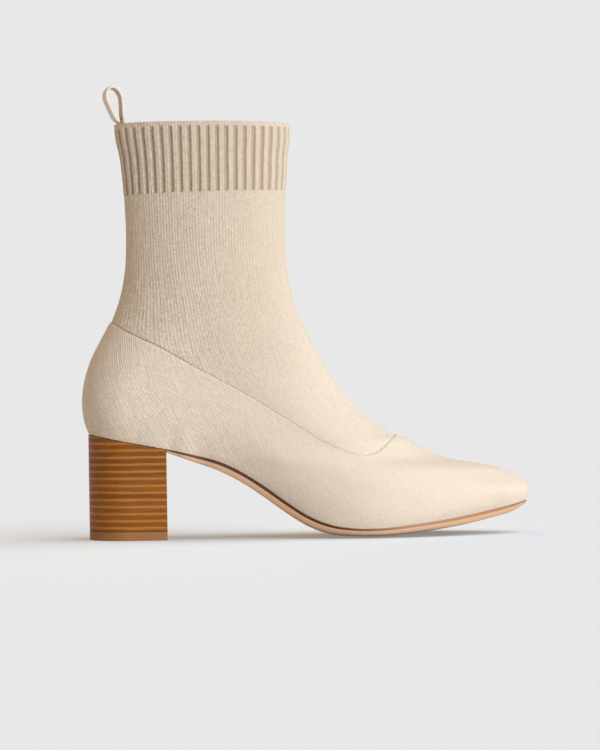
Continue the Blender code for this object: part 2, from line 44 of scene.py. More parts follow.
# Foot panel
# A fine jersey, knitted in cream yarn with its lining fused behind it. It's drawn over the last,
# closed round heel and toe, turned 7 mm under the foot and glued down. Its top edge is folded in.
LENGTH = 0.2564  # back of the heel curve to the toe tip
BALL_WIDTH = 0.0786  # widest part of the upper
HEEL_WIDTH = 0.0570  # upper round the heel
HEEL_HEIGHT = 0.0605  # floor to the seat's edge at the back
BALL_HEIGHT = 0.0054  # floor to the feather edge beside the ball
TOE_SPRING = 0.0132  # rise of the feather edge from ball to toe tip
TOE_SWING = 0.0080  # sideways swing of the toe towards the inner side
INNER_BALL_SHIFT = 0.030  # how much further forward the inner ball lies, as a share of the foot
SHIFT_LEVELS = (0.625, 1.25)  # that shift is full below the first level and gone at the second
SWING_START = 0.55  # share of the foot from which the toe swings
HEEL_CURVE = 0.0267  # how far the heel bulges behind the ankle
SEAT_OVERHANG = 0.0033  # how far the upper's back stands out behind the heel
ANKLE_LENGTH = 0.0915  # narrowest part of the shaft, back to front
COLLAR_LENGTH = 0.1008
COLLAR_WIDTH = 0.0520
COLLAR_HEIGHT = 0.2380  # at the back
COLLAR_DROP = 0.0010  # how much lower the collar is at the front
SEAM_HEIGHT = 0.1250  # floor to the seam at the back
THROAT_HEIGHT = 0.0578  # floor to the seam's tongue on the instep
WALL = 0.0020  # knit and lining together
MARGIN = 0.0070  # upper turned under the foot and glued down
TUCK_HEIGHT = 0.0270  # height over which the wall turns in to the feather edge at the waist
FAN = 1.5  # power by which the foot panel's columns spread towards the toe
SOLE_WIDTH = 0.0712  # feather edge to feather edge at the ball
SEAT_WIDTH = 0.0500
SEAT_END = 0.185  # share of the foot where the seat ends
SHANK_START = 0.240  # and where widths become shares of SOLE_WIDTH
BELLY = 0.0026  # how far the bottom hangs lower at the middle of the ball
BELLY_START = 0.30  # share of the foot
BELLY_FADE = 0.25
HEEL_LENGTH = 0.0458  # top piece, back to breast
BACK_X = -HEEL_LENGTH / 2 - SEAT_OVERHANG
TOE_X = BACK_X + LENGTH
ANKLE_BACK = BACK_X + HEEL_CURVE
ANKLE_FRONT = ANKLE_BACK + ANKLE_LENGTH
FLARE = COLLAR_LENGTH - ANKLE_LENGTH
COLLAR_FRONT = COLLAR_HEIGHT - COLLAR_DROP
COLUMNS = 528  # columns of faces round the boot
SEAM_PROUD = 0.00024  # the panel's folded edge stands out by this much
FOLD_DEPTH = 0.0013  # and dips in this far at the back of the seam
SEAM_FADE = (0.10, 0.42)  # shares of the seam over which the fold turns shallow
SHALLOW = 0.30  # share of the fold's depth that is left ahead of that
FOLD_ROUND = 0.0007  # round of the knit where it turns under the foot
PANEL_WALE = 0.0016  # width of one upright row of stitches
COURSE = 0.0012  # height of one stitch
GUIDE_HEIGHT = 0.15  # share of the panel's height along which its wales are spaced evenly
GUIDE_BACK = 0.35  # share of its length over which they come to follow that line
UNDER_COURSES = 0.5  # how fast the courses run on under the foot
CALM_SPAN = (0.0, 0.11)  # metres ahead of the heel's middle over which the knit turns smoother
CALM_LEFT = 0.35  # share of its relief and speckle that is left beyond
PAINTED_LIGHT_SPAN = (0.07, 0.14)  # and over which painted light makes the knit paler towards the front
KNIT_TONE = 0.4  # the tone, from shade to light, that smooth knit settles to


def curve(xs, ys):
    """A smooth function through a few points, level beyond both ends."""
    xs, ys = np.asarray(xs, float), np.asarray(ys, float)
    step = np.diff(xs)
    slope = np.diff(ys) / step
    tangent = np.empty(len(xs))
    tangent[0], tangent[-1] = slope[0], slope[-1]
    tangent[1:-1] = (step[1:] * slope[:-1] + step[:-1] * slope[1:]) / (step[1:] + step[:-1])

    def value(x):
        x = np.clip(x, xs[0], xs[-1])
        i = np.clip(np.searchsorted(xs, x) - 1, 0, len(step) - 1)
        u = (x - xs[i]) / step[i]
        start = (1 + 2 * u) * (1 - u) ** 2 * ys[i] + u * (1 - u) ** 2 * step[i] * tangent[i]
        end = u * u * (3 - 2 * u) * ys[i + 1] - u * u * (1 - u) * step[i] * tangent[i + 1]
        return start + end

    return value


def table(names, *rows):
    """A short table as one array for each named column."""
    return dict(zip(names.split(), np.array(rows, float).T))


def profile(names, *rows):
    """A short table as one smooth function of its first column for each other column."""
    first, *others = np.array(rows, float).T
    return dict(zip(names.split()[1:], [curve(first, other) for other in others]))


# Back outline. level: 0 at the seat, 1 at the seam, 2 at the collar. curve: share of HEEL_CURVE,
# forward from the back of the heel. flare: share of FLARE, backward.
BACK = profile(
    "level curve flare",
    (0, 0.13, 0),
    (0.11, 0.04, 0),
    (0.26, 0, 0),
    (0.4, 0.022, 0),
    (0.54, 0.098, 0),
    (0.68, 0.222, 0),
    (0.82, 0.398, 0),
    (0.96, 0.59, 0),
    (1.06, 0.765, 0),
    (1.14, 0.873, 0),
    (1.24, 0.955, 0),
    (1.42, 1, 0),
    (1.6, 1, 0.06),
    (1.75, 1, 0.19),
    (1.835, 1, 0.31),
    (1.917, 1, 0.52),
    (2, 1, 0.64),
)

# Front outline. level: 0 at the floor, 1 at the throat, 2 at the collar. reach: share of the
# way from the ankle's front to the toe tip. flare: share of FLARE, forward.
FRONT = profile(
    "level reach flare",
    (0.32, 0.991, 0),
    (0.42, 1, 0),
    (0.47, 0.994, 0),
    (0.53, 0.972, 0),
    (0.6, 0.925, 0),
    (0.65, 0.878, 0),
    (0.69, 0.805, 0),
    (0.715, 0.75, 0),
    (0.738, 0.69, 0),
    (0.77, 0.641, 0),
    (0.87, 0.554, 0),
    (1, 0.44, 0),
    (1.04, 0.36, 0),
    (1.09, 0.281, 0),
    (1.145, 0.22, 0),
    (1.22, 0.157, 0),
    (1.3, 0.104, 0),
    (1.4, 0.045, 0),
    (1.48, 0.018, 0),
    (1.56, 0.003, 0),
    (1.66, 0, 0),
    (1.75, 0, 0.04),
    (1.84, 0, 0.17),
    (1.89, 0, 0.22),
    (1.945, 0, 0.36),
    (2, 0, 0.36),
)

# Seam between shaft and foot panel. along: share from its back end to the throat.
# drop: share of the height from its back end down to the throat.
SEAM = profile(
    "along drop",
    (0, 0),
    (0.05, 0.078),
    (0.16, 0.205),
    (0.3, 0.4),
    (0.45, 0.598),
    (0.6, 0.82),
    (0.7, 0.974),
    (0.79, 1.093),
    (0.86, 1.155),
    (0.9, 1.165),
    (0.94, 1.13),
    (0.97, 1.075),
    (1, 1),
)

# Feather edge, where the upper turns under. along: share from heel to toe. rise: share of the
# seat's rise above the ball. spring: share of TOE_SPRING. outer and inner: half widths, as
# shares of the seat's up to the breast and of the ball's beyond it. tuck: share of TUCK_HEIGHT.
FEATHER = profile(
    "along rise spring outer inner tuck",
    (0, 1, 0, 0.97, 0.97, 0.7),
    (0.1, 0.911, 0, 1, 1, 0.74),
    (0.185, 0.835, 0, 1, 0.98, 0.82),
    (0.24, 0.776, 0, 0.67, 0.63, 0.92),
    (0.3, 0.699, 0, 0.63, 0.55, 1),
    (0.35, 0.59, 0, 0.62, 0.505, 1.02),
    (0.4, 0.443, 0, 0.64, 0.49, 1.02),
    (0.45, 0.278, 0, 0.7, 0.51, 1),
    (0.5, 0.131, 0, 0.79, 0.57, 0.96),
    (0.55, 0.04, 0, 0.885, 0.68, 0.84),
    (0.6, 0.004, 0, 0.96, 0.8, 0.64),
    (0.66, 0, 0, 1, 0.94, 0.46),
    (0.74, 0, 0.14, 0.935, 0.995, 0.38),
    (0.82, 0, 0.335, 0.77, 0.87, 0.35),
    (0.9, 0, 0.6, 0.56, 0.635, 0.33),
    (0.96, 0, 0.83, 0.385, 0.42, 0.31),
    (1, 0, 1, 0.26, 0.27, 0.3),
)
SEAT_ROUND = 0.100  # share of the foot over which the seat is rounded
TIP_ROUND = 0.045

# Level sections of the upper. level as in FRONT. shaft: how far the section belongs to the
# shaft, whose widths are shares of COLLAR_WIDTH; the foot's are shares of HEEL_WIDTH (back and
# heel) and BALL_WIDTH. round_back and round_front: share of the section that each end takes.
SECTIONS = profile(
    "level shaft round_back round_front back heel waist ball toe tip",
    (0.35, 0, 0.105, 0.05, 0.98, 0.98, 0.84, 1, 0.75, 0.3),
    (0.45, 0, 0.11, 0.075, 0.98, 0.98, 0.84, 0.99, 0.735, 0.34),
    (0.6, 0, 0.12, 0.19, 0.99, 0.99, 0.825, 0.95, 0.69, 0.38),
    (0.72, 0, 0.127, 0.22, 1, 1, 0.807, 0.905, 0.715, 0.48),
    (0.86, 0, 0.135, 0.245, 1.01, 1.01, 0.785, 0.85, 0.74, 0.6),
    (1.04, 0, 0.16, 0.29, 1.025, 1.025, 0.75, 0.785, 0.765, 0.66),
    (1.12, 0, 0.18, 0.33, 1.01, 1.01, 0.727, 0.725, 0.675, 0.57),
    (1.21, 0, 0.225, 0.38, 0.935, 0.935, 0.677, 0.655, 0.62, 0.58),
    (1.29, 0.5, 0.31, 0.44, 0.92, 0.92, 0.768, 0.76, 0.75, 0.745),
    (1.375, 1, 0.43, 0.5, *[0.945] * 6),
    (1.5, 1, 0.5, 0.5, *[0.94] * 6),
    (1.8, 1, 0.5, 0.5, *[0.96] * 6),
    (2, 1, 0.5, 0.5, *[1] * 6),
)
STATIONS = {"back": 0.0, "heel": 0.2, "waist": 0.45, "ball": 0.65, "toe": 0.85, "tip": 1.0}


def blend(a, b, share):
    return a + (b - a) * share


def eased(share):
    """A share that starts level at 0 and ends level at 1."""
    share = np.clip(share, 0, 1)
    return share * share * (3 - 2 * share)


def so_far(steps):
    """Length of a line up to each of its points, from the steps between them."""
    return np.r_[0, np.cumsum(steps)]


def unit(vectors):
    return vectors / np.linalg.norm(vectors, axis=-1)[..., None]


def front_share(angle):
    """How far a column stands from the back of the boot (0) to its front (1)."""
    return (1 - np.cos(angle)) / 2


def end_round(distance, reach):
    """1 away from an end, falling to 0 at it as a quarter ellipse does."""
    return np.sqrt(1 - (1 - np.clip(distance / reach, 0, 1)) ** 2)


def level_of(z, low, middle):
    """Height as a level: 0 at low, 1 at middle, 2 at the collar."""
    below = (z - low) / (middle - low)
    above = 1 + (z - middle) / (COLLAR_HEIGHT - middle)
    return np.where(z < middle, below, above)


station_weight = {
    name: curve(list(STATIONS.values()), [float(name == other) for other in STATIONS])
    for name in STATIONS
}


def back_x(z):
    """Back outline of the upper at height z."""
    level = level_of(z, HEEL_HEIGHT, SEAM_HEIGHT)
    return BACK_X + HEEL_CURVE * BACK["curve"](level) - FLARE * BACK["flare"](level)


def front_x(z):
    """Front outline of the upper at height z, from the toe tip up over the instep."""
    level = level_of(z, 0.0, THROAT_HEIGHT)
    return blend(ANKLE_FRONT, TOE_X, FRONT["reach"](level)) + FLARE * FRONT["flare"](level)


FOOT_BACK = float(back_x(HEEL_HEIGHT))
TIP_HEIGHT = BALL_HEIGHT + TOE_SPRING
FOOT_FRONT = float(front_x(TIP_HEIGHT))


def along_foot(x):
    return (x - FOOT_BACK) / (FOOT_FRONT - FOOT_BACK)


def centre_y(x):
    """The middle of the foot, which swings inwards from the ball to the toe."""
    return TOE_SWING * (np.clip(along_foot(x) - SWING_START, 0, None) / (1 - SWING_START)) ** 2


def feather_z(x):
    """Height of the feather edge: seat, arch, ball and toe spring."""
    s = along_foot(x)
    return blend(BALL_HEIGHT, HEEL_HEIGHT, FEATHER["rise"](s)) + TOE_SPRING * FEATHER["spring"](s)


def feather_half(x, side):
    """Half width of the feather edge on the outer or inner side."""
    s = along_foot(x)
    half = blend(SEAT_WIDTH, SOLE_WIDTH, eased((s - SEAT_END) / (SHANK_START - SEAT_END))) / 2
    return half * FEATHER[side](s) * end_round(s, SEAT_ROUND) * end_round(1 - s, TIP_ROUND)


def bottom_z(x, y):
    """Underside of the upper, which hangs lowest at the middle of the ball."""
    s = along_foot(x)
    side = np.where(y < centre_y(x), feather_half(x, "outer"), feather_half(x, "inner"))
    across = np.clip(np.abs(y - centre_y(x)) / np.maximum(side, 1e-6), 0, 1)
    share = np.clip((s - BELLY_START) / BELLY_FADE, 0, 1) * np.clip((1 - s) / BELLY_FADE, 0, 1)
    return feather_z(x) - BELLY * share * (1 - across**2)


def wall_half(x, z, side):
    """Half width of the upper at a point of its side view."""
    back, front = back_x(z), front_x(z)
    t = np.clip((x - back) / (front - back), 0, 1)
    level = level_of(z, 0.0, THROAT_HEIGHT)
    ends = end_round(t, SECTIONS["round_back"](level))
    ends = ends * end_round(1 - t, SECTIONS["round_front"](level))
    if side == "inner":
        full, gone = SHIFT_LEVELS
        shifted = np.clip((gone - level) / (gone - full), 0, 1)
        t = t - INNER_BALL_SHIFT * shifted * np.sin(np.pi * t) ** 2
    shaft = SECTIONS["shaft"](level)
    width = 0
    for name in STATIONS:
        foot = HEEL_WIDTH if name in ("back", "heel") else BALL_WIDTH
        share = station_weight[name](t) * SECTIONS[name](level)
        width = width + share * blend(foot, COLLAR_WIDTH, shaft)
    wall = width / 2 * ends
    edge = np.minimum(feather_half(x, side), wall)
    tuck = TUCK_HEIGHT * FEATHER["tuck"](along_foot(x))
    up = np.clip((z - feather_z(x)) / tuck, 0, 1)
    return blend(edge, wall, 1 - (1 - up) ** 2)


def heights_along(outline, low, high, share):
    """The height at a share of an outline's length between two heights."""
    z = np.linspace(low, high, 200)
    length = so_far(np.hypot(np.diff(outline(z)), np.diff(z)))
    return float(np.interp(share * length[-1], length, z))


def equal_steps(count):
    """Angles from back to front and home again, whose steps are equal round the collar."""
    angle = np.linspace(0, 2 * np.pi, 721)
    length = so_far(
        np.hypot(COLLAR_LENGTH * np.diff(np.cos(angle)), COLLAR_WIDTH * np.diff(np.sin(angle)))
    )
    return np.interp(np.arange(count) / count * length[-1], length, angle)


def ring_on_form(angle, x, z):
    """Points of one row of the upper. The outer side comes first, back to front."""
    half = np.where(angle < np.pi, -wall_half(x, z, "outer"), wall_half(x, z, "inner"))
    middle = np.isclose(np.sin(angle), 0, atol=1e-9)
    return np.column_stack((x, centre_y(x) + np.where(middle, 0, half), z))


def seam_z(t):
    return blend(SEAM_HEIGHT, THROAT_HEIGHT, SEAM["drop"](t))


def panel_row(angle, share):
    """A row of the foot panel, from the feather edge (0) to the seam (1). Its columns spread
    out ahead of the throat, over the toe."""
    t = front_share(angle)
    back = heights_along(back_x, HEEL_HEIGHT, SEAM_HEIGHT, share)
    front = heights_along(front_x, TIP_HEIGHT, THROAT_HEIGHT, share)
    throat_x = front_x(THROAT_HEIGHT)
    spread = t**FAN
    x = blend(back_x(back), throat_x, t) + (front_x(front) - throat_x) * spread
    edge_x = blend(FOOT_BACK, throat_x, t) + (FOOT_FRONT - throat_x) * spread
    up_back = (back - HEEL_HEIGHT) / (SEAM_HEIGHT - HEEL_HEIGHT)
    up_front = (front - TIP_HEIGHT) / (THROAT_HEIGHT - TIP_HEIGHT)
    z = blend(feather_z(edge_x), seam_z(t), blend(up_back, up_front, t))
    return ring_on_form(angle, x, z)


def inset(ring, distance):
    """A closed row moved inwards, level, by a distance."""
    ahead = np.roll(ring, -1, axis=0) - np.roll(ring, 1, axis=0)
    length = np.hypot(ahead[:, 0], ahead[:, 1])
    inward = np.column_stack((-ahead[:, 1], ahead[:, 0], np.zeros(len(ring)))) / length[:, None]
    return ring + inward * distance


def outward(rows):
    """Unit normals of rows of points that close round the boot."""
    along = np.roll(rows, -1, axis=1) - np.roll(rows, 1, axis=1)
    return unit(np.cross(along, np.gradient(rows, axis=0)))


def numbered(rows):
    """The number of each point in rows that close, and of the point beside it."""
    here = np.arange(rows.shape[0] * rows.shape[1]).reshape(rows.shape[:2])
    return here, np.roll(here, -1, axis=1)


def four_sided(*corners):
    """Faces from four grids that number their corners."""
    return np.stack(corners, axis=-1).reshape(-1, 4).tolist()


def capped(rows):
    """Faces of a bar through rows that each close, with a face on its first row and its last."""
    here, beside = numbered(rows)
    sides = four_sided(here[:-1], beside[:-1], beside[1:], here[1:])
    return [*sides, here[0, ::-1].tolist(), here[-1].tolist()]


def closed(values):
    """Values round the boot, with the first once more at the end."""
    return np.pad(values, ((0, 0), (0, 1)), "wrap")


def new_piece(name, points, faces, finish, sharp=None):
    """A piece from points and faces, shaded smoothly but for edges sharper than an angle."""
    mesh = bpy.data.meshes.new(name)
    mesh.from_pydata(np.reshape(points, (-1, 3)).tolist(), [], faces)
    mesh.materials.append(finish)
    mesh.shade_smooth()
    if sharp:
        mesh.set_sharp_from_angle(angle=np.radians(sharp))
    piece = bpy.data.objects.new(name, mesh)
    bpy.context.collection.objects.link(piece)
    return piece


def knitted(name, rows, wales, courses, finish):
    """A closed skin through rows that each close round the boot; the last row joins the first.
    wales and courses place the stitches; wales has one value more than a row has points."""
    here, beside = numbered(rows)
    faces = four_sided(here, beside, np.roll(beside, -1, axis=0), np.roll(here, -1, axis=0))
    piece = new_piece(name, rows, faces, finish)
    stitches = np.stack((wales, closed(courses)), axis=-1)
    above = np.roll(stitches, -1, axis=0)
    corners = (stitches[:, :-1], stitches[:, 1:], above[:, 1:], above[:, :-1])
    layer = piece.data.uv_layers.new(name="stitches")
    layer.uv.foreach_set("vector", np.stack(corners, axis=2).ravel())
    return piece


class Nodes:
    """Short ways to add nodes to a tree. Each gives the new node's output."""

    def __init__(self, tree):
        self.tree = tree

    def feed(self, node, inputs):
        """Sets or links a node's inputs, each given by its place or its name."""
        for place, value in inputs.items():
            if isinstance(value, bpy.types.NodeSocket):
                self.tree.links.new(value, node.inputs[place])
            elif value is not None:
                node.inputs[place].default_value = value

    def add(self, kind, *inputs, give=0, named=None, **settings):
        """give says which output, named holds inputs by name, and the rest are settings."""
        node = self.tree.nodes.new("ShaderNode" + kind)
        for name, value in settings.items():
            setattr(node, name, value)
        self.feed(node, {**dict(enumerate(inputs)), **(named or {})})
        return node.outputs[give]

    def math(self, operation, *values):
        return self.add("Math", *values, operation=operation)

    def times(self, value, by, plus=None):
        """value times by, with plus added if there is one."""
        return self.math("MULTIPLY" if plus is None else "MULTIPLY_ADD", value, by, plus)

    def wave(self, shape, value, turn):
        """A sine or cosine of value times turn, from 0 to 1."""
        return self.times(self.math(shape, self.times(value, turn)), 0.5, 0.5)

    def ramp(self, value, start, stop, low=0.0, high=1.0):
        """low up to start and high from stop on, with an eased slope between."""
        return self.add("MapRange", value, start, stop, low, high, interpolation_type="SMOOTHSTEP")

    def noise(self, place, scale, detail, roughness):
        return self.add("TexNoise", place, None, scale, detail, roughness)

    def mix(self, share, low, high):
        """The colour low where share is 0, and high where it is 1."""
        colours = {"Factor": share, "A": low, "B": high}
        return self.add("Mix", give="Result", named=colours, data_type="RGBA")


class Finish(Nodes):
    """A new material, with the ways to add its nodes."""

    def __init__(self, name):
        self.made = bpy.data.materials.new(name)
        self.made.use_nodes = True
        super().__init__(self.made.node_tree)

    def place(self):
        """Where a point lies in the boot, in metres."""
        return self.add("TexCoord", give="Object")

    def surface(self, inputs, raised=None, strength=None, depth=None):
        """The material, once its shader has these inputs, and bump from a height if one is
        raised: strength, and depth in metres."""
        if raised:
            bump = {"Height": raised, "Strength": strength, "Distance": depth}
            inputs = {**inputs, "Normal": self.add("Bump", named=bump)}
        self.feed(self.tree.nodes["Principled BSDF"], inputs)
        return self.made


def tint(red, green, blue):
    """A colour given as a swatch reads, 0 to 255, for a shader."""
    share = np.array((red, green, blue)) / 255
    linear = np.where(share <= 0.04045, share / 12.92, ((share + 0.055) / 1.055) ** 2.4)
    return (*linear.tolist(), 1.0)


def jersey(name, light, shade, slant, relief, painted_front_light):
    """Plain knit: upright wales of V stitches. light and shade are the yarn on the wales and
    between them, slant how many wales the knit leans by in a metre of height, relief the depth
    of the wales, and the last argument how much painted light pales the yarn towards the front."""
    knit = Finish(name)
    add, math, times = knit.add, knit.math, knit.times
    wale = add("SeparateXYZ", add("UVMap", uv_map="stitches"))
    height = wale.node.outputs[1]
    wale = times(height, slant, wale)
    across = math("SUBTRACT", math("FRACT", wale), 0.5)
    rows = math("DIVIDE", height, COURSE)
    ridge = knit.wave("COSINE", across, 2 * np.pi)
    loops = knit.wave("SINE", times(math("ABSOLUTE", across), 1.3, rows), 2 * np.pi)
    stitches = times(ridge, times(loops, 0.45, 0.55))

    cell = add("CombineXYZ", math("FLOOR", times(wale, 2.0)), math("FLOOR", rows))
    speckle = add("TexWhiteNoise", cell, noise_dimensions="3D")
    streak = knit.noise(add("CombineXYZ", times(wale, 0.9), times(height, 55.0)), 1.0, 3.0, 0.6)
    yarn = times(stitches, times(streak, 1.6, -0.1))
    place = knit.place()
    cloud = knit.noise(place, 22.0, 3.0, 0.55)
    forward = add("SeparateXYZ", place)
    calm = knit.ramp(forward, *CALM_SPAN, 1.0, CALM_LEFT)

    bright = times(yarn, 0.16, times(speckle, 0.50, 0.18))
    bright = math("ADD", bright, times(streak, 0.60, -0.30))
    bright = math("ADD", bright, times(cloud, 0.12, -0.06))
    bright = times(math("SUBTRACT", bright, KNIT_TONE), calm, KNIT_TONE)
    # Painted light: the yarn turns paler towards the front, where the light falls strongest.
    bright = math("ADD", bright, knit.ramp(forward, *PAINTED_LIGHT_SPAN, 0.0, painted_front_light))
    # Painted shade: the yarn is darkened in the cuff's rib grooves.
    bright = times(add("Attribute", give="Fac", attribute_name="rib_groove_shade"), -0.45, bright)
    raised = times(speckle, 0.35, times(streak, 1.4, yarn))
    raised = times(knit.noise(place, 4200.0, 2.0, 0.6), 0.35, times(raised, calm))
    look = {
        "Base Color": knit.mix(bright, shade, light),
        "Roughness": 0.92,
        "Specular IOR Level": 0.18,
        "Sheen Weight": 0.22,
        "Sheen Roughness": 0.55,
        "Sheen Tint": tint(255, 240, 220),
    }
    return knit.surface(look, raised, 1.0, relief)


panel_knit = jersey(
    "cream_panel_knit",
    tint(210, 192, 171),
    tint(180, 160, 136),
    slant=340.0,
    relief=0.00024,
    painted_front_light=0.0,
)
angle = equal_steps(COLUMNS)
edge = panel_row(angle, 0.0)


def under_row(distance, rise=0.0):
    """A row of the turned-under margin, this far inside the feather edge."""
    row = inset(edge, distance)
    row[:, 2] = bottom_z(row[:, 0], row[:, 1]) + rise
    return row


def fold_row(turn):
    """A row on the round of the feather edge, from the bottom (0) to the wall (90 degrees)."""
    swing = np.radians(turn)
    row = inset(edge, FOLD_ROUND * (1 - np.sin(swing)))
    row[:, 2] = feather_z(row[:, 0]) + FOLD_ROUND * (1 - np.cos(swing))
    return row


shares = np.r_[0.030, 0.048, np.linspace(0.07, 0.93, 34), 0.950, 0.966, 0.978, 0.988, 0.995, 1.0]
wall_rows = np.array([panel_row(angle, share) for share in shares])
wall_out = outward(wall_rows)
proud = np.interp(shares, (0.90, 0.966, 0.984, 0.992, 0.997), (0.0, 1.0, 1.0, 0.5, 0.0))
dip = np.interp(shares, (0.988, 0.996, 1.0), (0.0, 0.35, 1.0))
fade_start, fade_end = SEAM_FADE
from_back = (front_share(angle) - fade_start) / (fade_end - fade_start)
seam_depth = blend(1.0, SHALLOW, eased(from_back))
stand = SEAM_PROUD * proud[:, None] - FOLD_DEPTH * dip[:, None] * seam_depth
outer_rows = wall_rows + wall_out * stand[..., None]
inside = np.arange(len(shares) - 2, 0, -3)
inner_rows = wall_rows[inside] - wall_out[inside] * WALL
bottom_rows = [under_row(distance) for distance in (MARGIN, 0.0048, 0.0026, FOLD_ROUND)]
bottom_rows += [fold_row(turn) for turn in (22.5, 45.0, 67.5)]
floor_rows = [under_row(distance, WALL) for distance in (WALL, MARGIN)]
panel_rows = np.concatenate((bottom_rows, outer_rows, inner_rows, floor_rows))

guide = panel_row(angle, GUIDE_HEIGHT)
guide_x, guide_y = guide[: COLUMNS // 2 + 1, :2].T
guide_length = so_far(np.hypot(np.diff(guide_x), np.diff(guide_y)))
lead = blend(guide[:, 0], panel_rows[..., 0], eased(front_share(angle) / GUIDE_BACK))
panel_wales = closed(np.interp(lead, guide_x, guide_length)) / PANEL_WALE
off_centre = np.abs(panel_rows[..., 1] - centre_y(panel_rows[..., 0]))
panel_courses = panel_rows[..., 2] - feather_z(panel_rows[..., 0])
panel_courses = panel_courses + UNDER_COURSES * (SOLE_WIDTH / 2 - off_centre)
panel = knitted("foot_panel", panel_rows, panel_wales, panel_courses, panel_knit)
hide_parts("knit_vamp")
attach(panel, "root")

# Sock shaft
# Knitted in one tube with the panel's yarn: plain jersey over ankle and instep, then a ribbed
# cuff and a plain rolled top edge. It's seamed into the foot panel, edge to edge.
CUFF_BACK = 0.0412  # height of the ribbed cuff at the back
CUFF_FRONT = 0.0388
RIB_WALES = 3  # upright rows of stitches in one rib and its groove
RIB_COLUMNS = 12  # and columns of faces
RIB_ENDS = (0.004, 0.012, 0.92, 0.94)  # shares of the cuff's height where ribs rise and fade
GROOVE_LAG = 0.006  # the crown of a rib ends that much sooner than its groove
INSIDE_RELIEF = 0.3  # share of the ribs' depth that shows inside
SEAM_DIP = 0.0013  # the shaft's edge is drawn in under the panel's fold
UPRIGHT = 5  # power by which only the outermost ribs follow the collar's flare

# Rib, outwards from the knit's own face. step: twelfths of a rib from its crown.
RIB = table(
    "step out",
    (0, 0.00016),
    (1, 0.00015),
    (2, 0.0001),
    (3, -0.00006),
    (4, -0.00092),
    (5, -0.00116),
    (6, -0.0012),
)


def cuff_heights(share):
    """Heights of a row of the cuff at the back and at the front."""
    return COLLAR_HEIGHT - CUFF_BACK * (1 - share), COLLAR_FRONT - CUFF_FRONT * (1 - share)


def shaft_row(angle, share):
    """A row of the plain shaft, from the seam (0) to the base of the cuff (1)."""
    t = front_share(angle)
    base_back, base_front = cuff_heights(0)
    back, front = blend(SEAM_HEIGHT, base_back, share), blend(THROAT_HEIGHT, base_front, share)
    x = blend(back_x(back), front_x(front), t)
    return ring_on_form(angle, x, blend(seam_z(t), blend(base_back, base_front, t), share))


def cuff_row(angle, share, rise=0.0):
    """A row of the cuff, from its base (0) to the collar (1), or a little above that."""
    t = front_share(angle)
    back, front = np.add(cuff_heights(share), rise)
    return ring_on_form(angle, blend(back_x(back), front_x(front), t), blend(back, front, t))


def upright(share):
    """Column angles for a row of the cuff, whose columns stand straight up from its base but for
    the few at each end, which lean out with the collar."""
    t = front_share(angle)
    (base_back, base_front), (row_back, row_front) = [
        (back_x(back), front_x(front)) for back, front in (cuff_heights(0), cuff_heights(share))
    ]
    x = blend(base_back, base_front, t)
    x = x + (row_back - base_back) * (1 - t) ** UPRIGHT + (row_front - base_front) * t**UPRIGHT
    turned = np.arccos(1 - 2 * np.clip((x - row_back) / (row_front - row_back), 0, 1))
    return np.where(angle > np.pi, 2 * np.pi - turned, turned)


shaft_knit = jersey(
    "cream_shaft_knit",
    tint(203, 185, 162),
    tint(166, 145, 121),
    slant=0.0,
    relief=0.00028,
    # painted light on the shaft's front
    painted_front_light=0.30,
)
plain_foot = (0.0, 0.003, 0.006, 0.010, 0.017, 0.027, 0.040, 0.058)
plain_shares = np.r_[plain_foot, np.linspace(0.08, 0.985, 36)]
plain_dip = np.interp(plain_shares, (0.0, 0.003, 0.006, 0.010, 0.030), (1.0, 0.42, 0.16, 0.06, 0.0))
cuff_foot = (0.0, 0.006, 0.012, 0.018, 0.025, 0.033, 0.045)
cuff_top = (0.910, 0.918, 0.926, 0.934, 0.942, 0.957)
cuff_shares = np.r_[cuff_foot, np.linspace(0.08, 0.89, 16), cuff_top]
roll = np.radians(np.linspace(0, 180, 9))
roll_round = WALL / 2
half_rib = RIB_COLUMNS // 2
steps_off = np.abs((np.arange(COLUMNS) + half_rib) % RIB_COLUMNS - half_rib)
rib_out = np.interp(steps_off, RIB["step"], RIB["out"])
lags = GROOVE_LAG * np.clip(((half_rib - steps_off) / 3) ** 2, 0, 1)
rib_depth = [
    np.interp(cuff_shares, np.add(RIB_ENDS, (lag, lag, -lag, -lag)), (0.0, 1.0, 1.0, 0.0))
    for lag in lags
]
rib_depth = np.transpose(rib_depth)

plain_rows = [shaft_row(angle, share) for share in plain_shares]
cuff_rows = [cuff_row(upright(share), share) for share in cuff_shares]
roll_rows = [cuff_row(upright(1.0), 1.0, roll_round * (np.sin(turn) - 1)) for turn in roll]
tube_rows = np.array(plain_rows + cuff_rows + roll_rows)
plain_count, cuff_count = len(plain_rows), len(cuff_rows)
cuff = slice(plain_count, plain_count + cuff_count)
tube_out = outward(tube_rows[: cuff.stop])
tube_out = np.concatenate((tube_out, np.repeat(tube_out[-1:], len(roll), axis=0)))
stand = np.zeros(tube_rows.shape[:2])
stand[:plain_count] = -SEAM_DIP * plain_dip[:, None] * seam_depth
stand[cuff] = rib_depth * rib_out
stand[-len(roll) :] = (-roll_round * (1 - np.cos(roll)))[:, None]
outer_rows = tube_rows + tube_out * stand[..., None]
inside = np.arange(cuff.stop - 2, 0, -2)
inner_stand = -WALL + INSIDE_RELIEF * stand[inside]
inner_stand[-1] = -WALL
inner_rows = tube_rows[inside] + tube_out[inside] * inner_stand[..., None]
shaft_rows = np.concatenate((outer_rows, inner_rows))

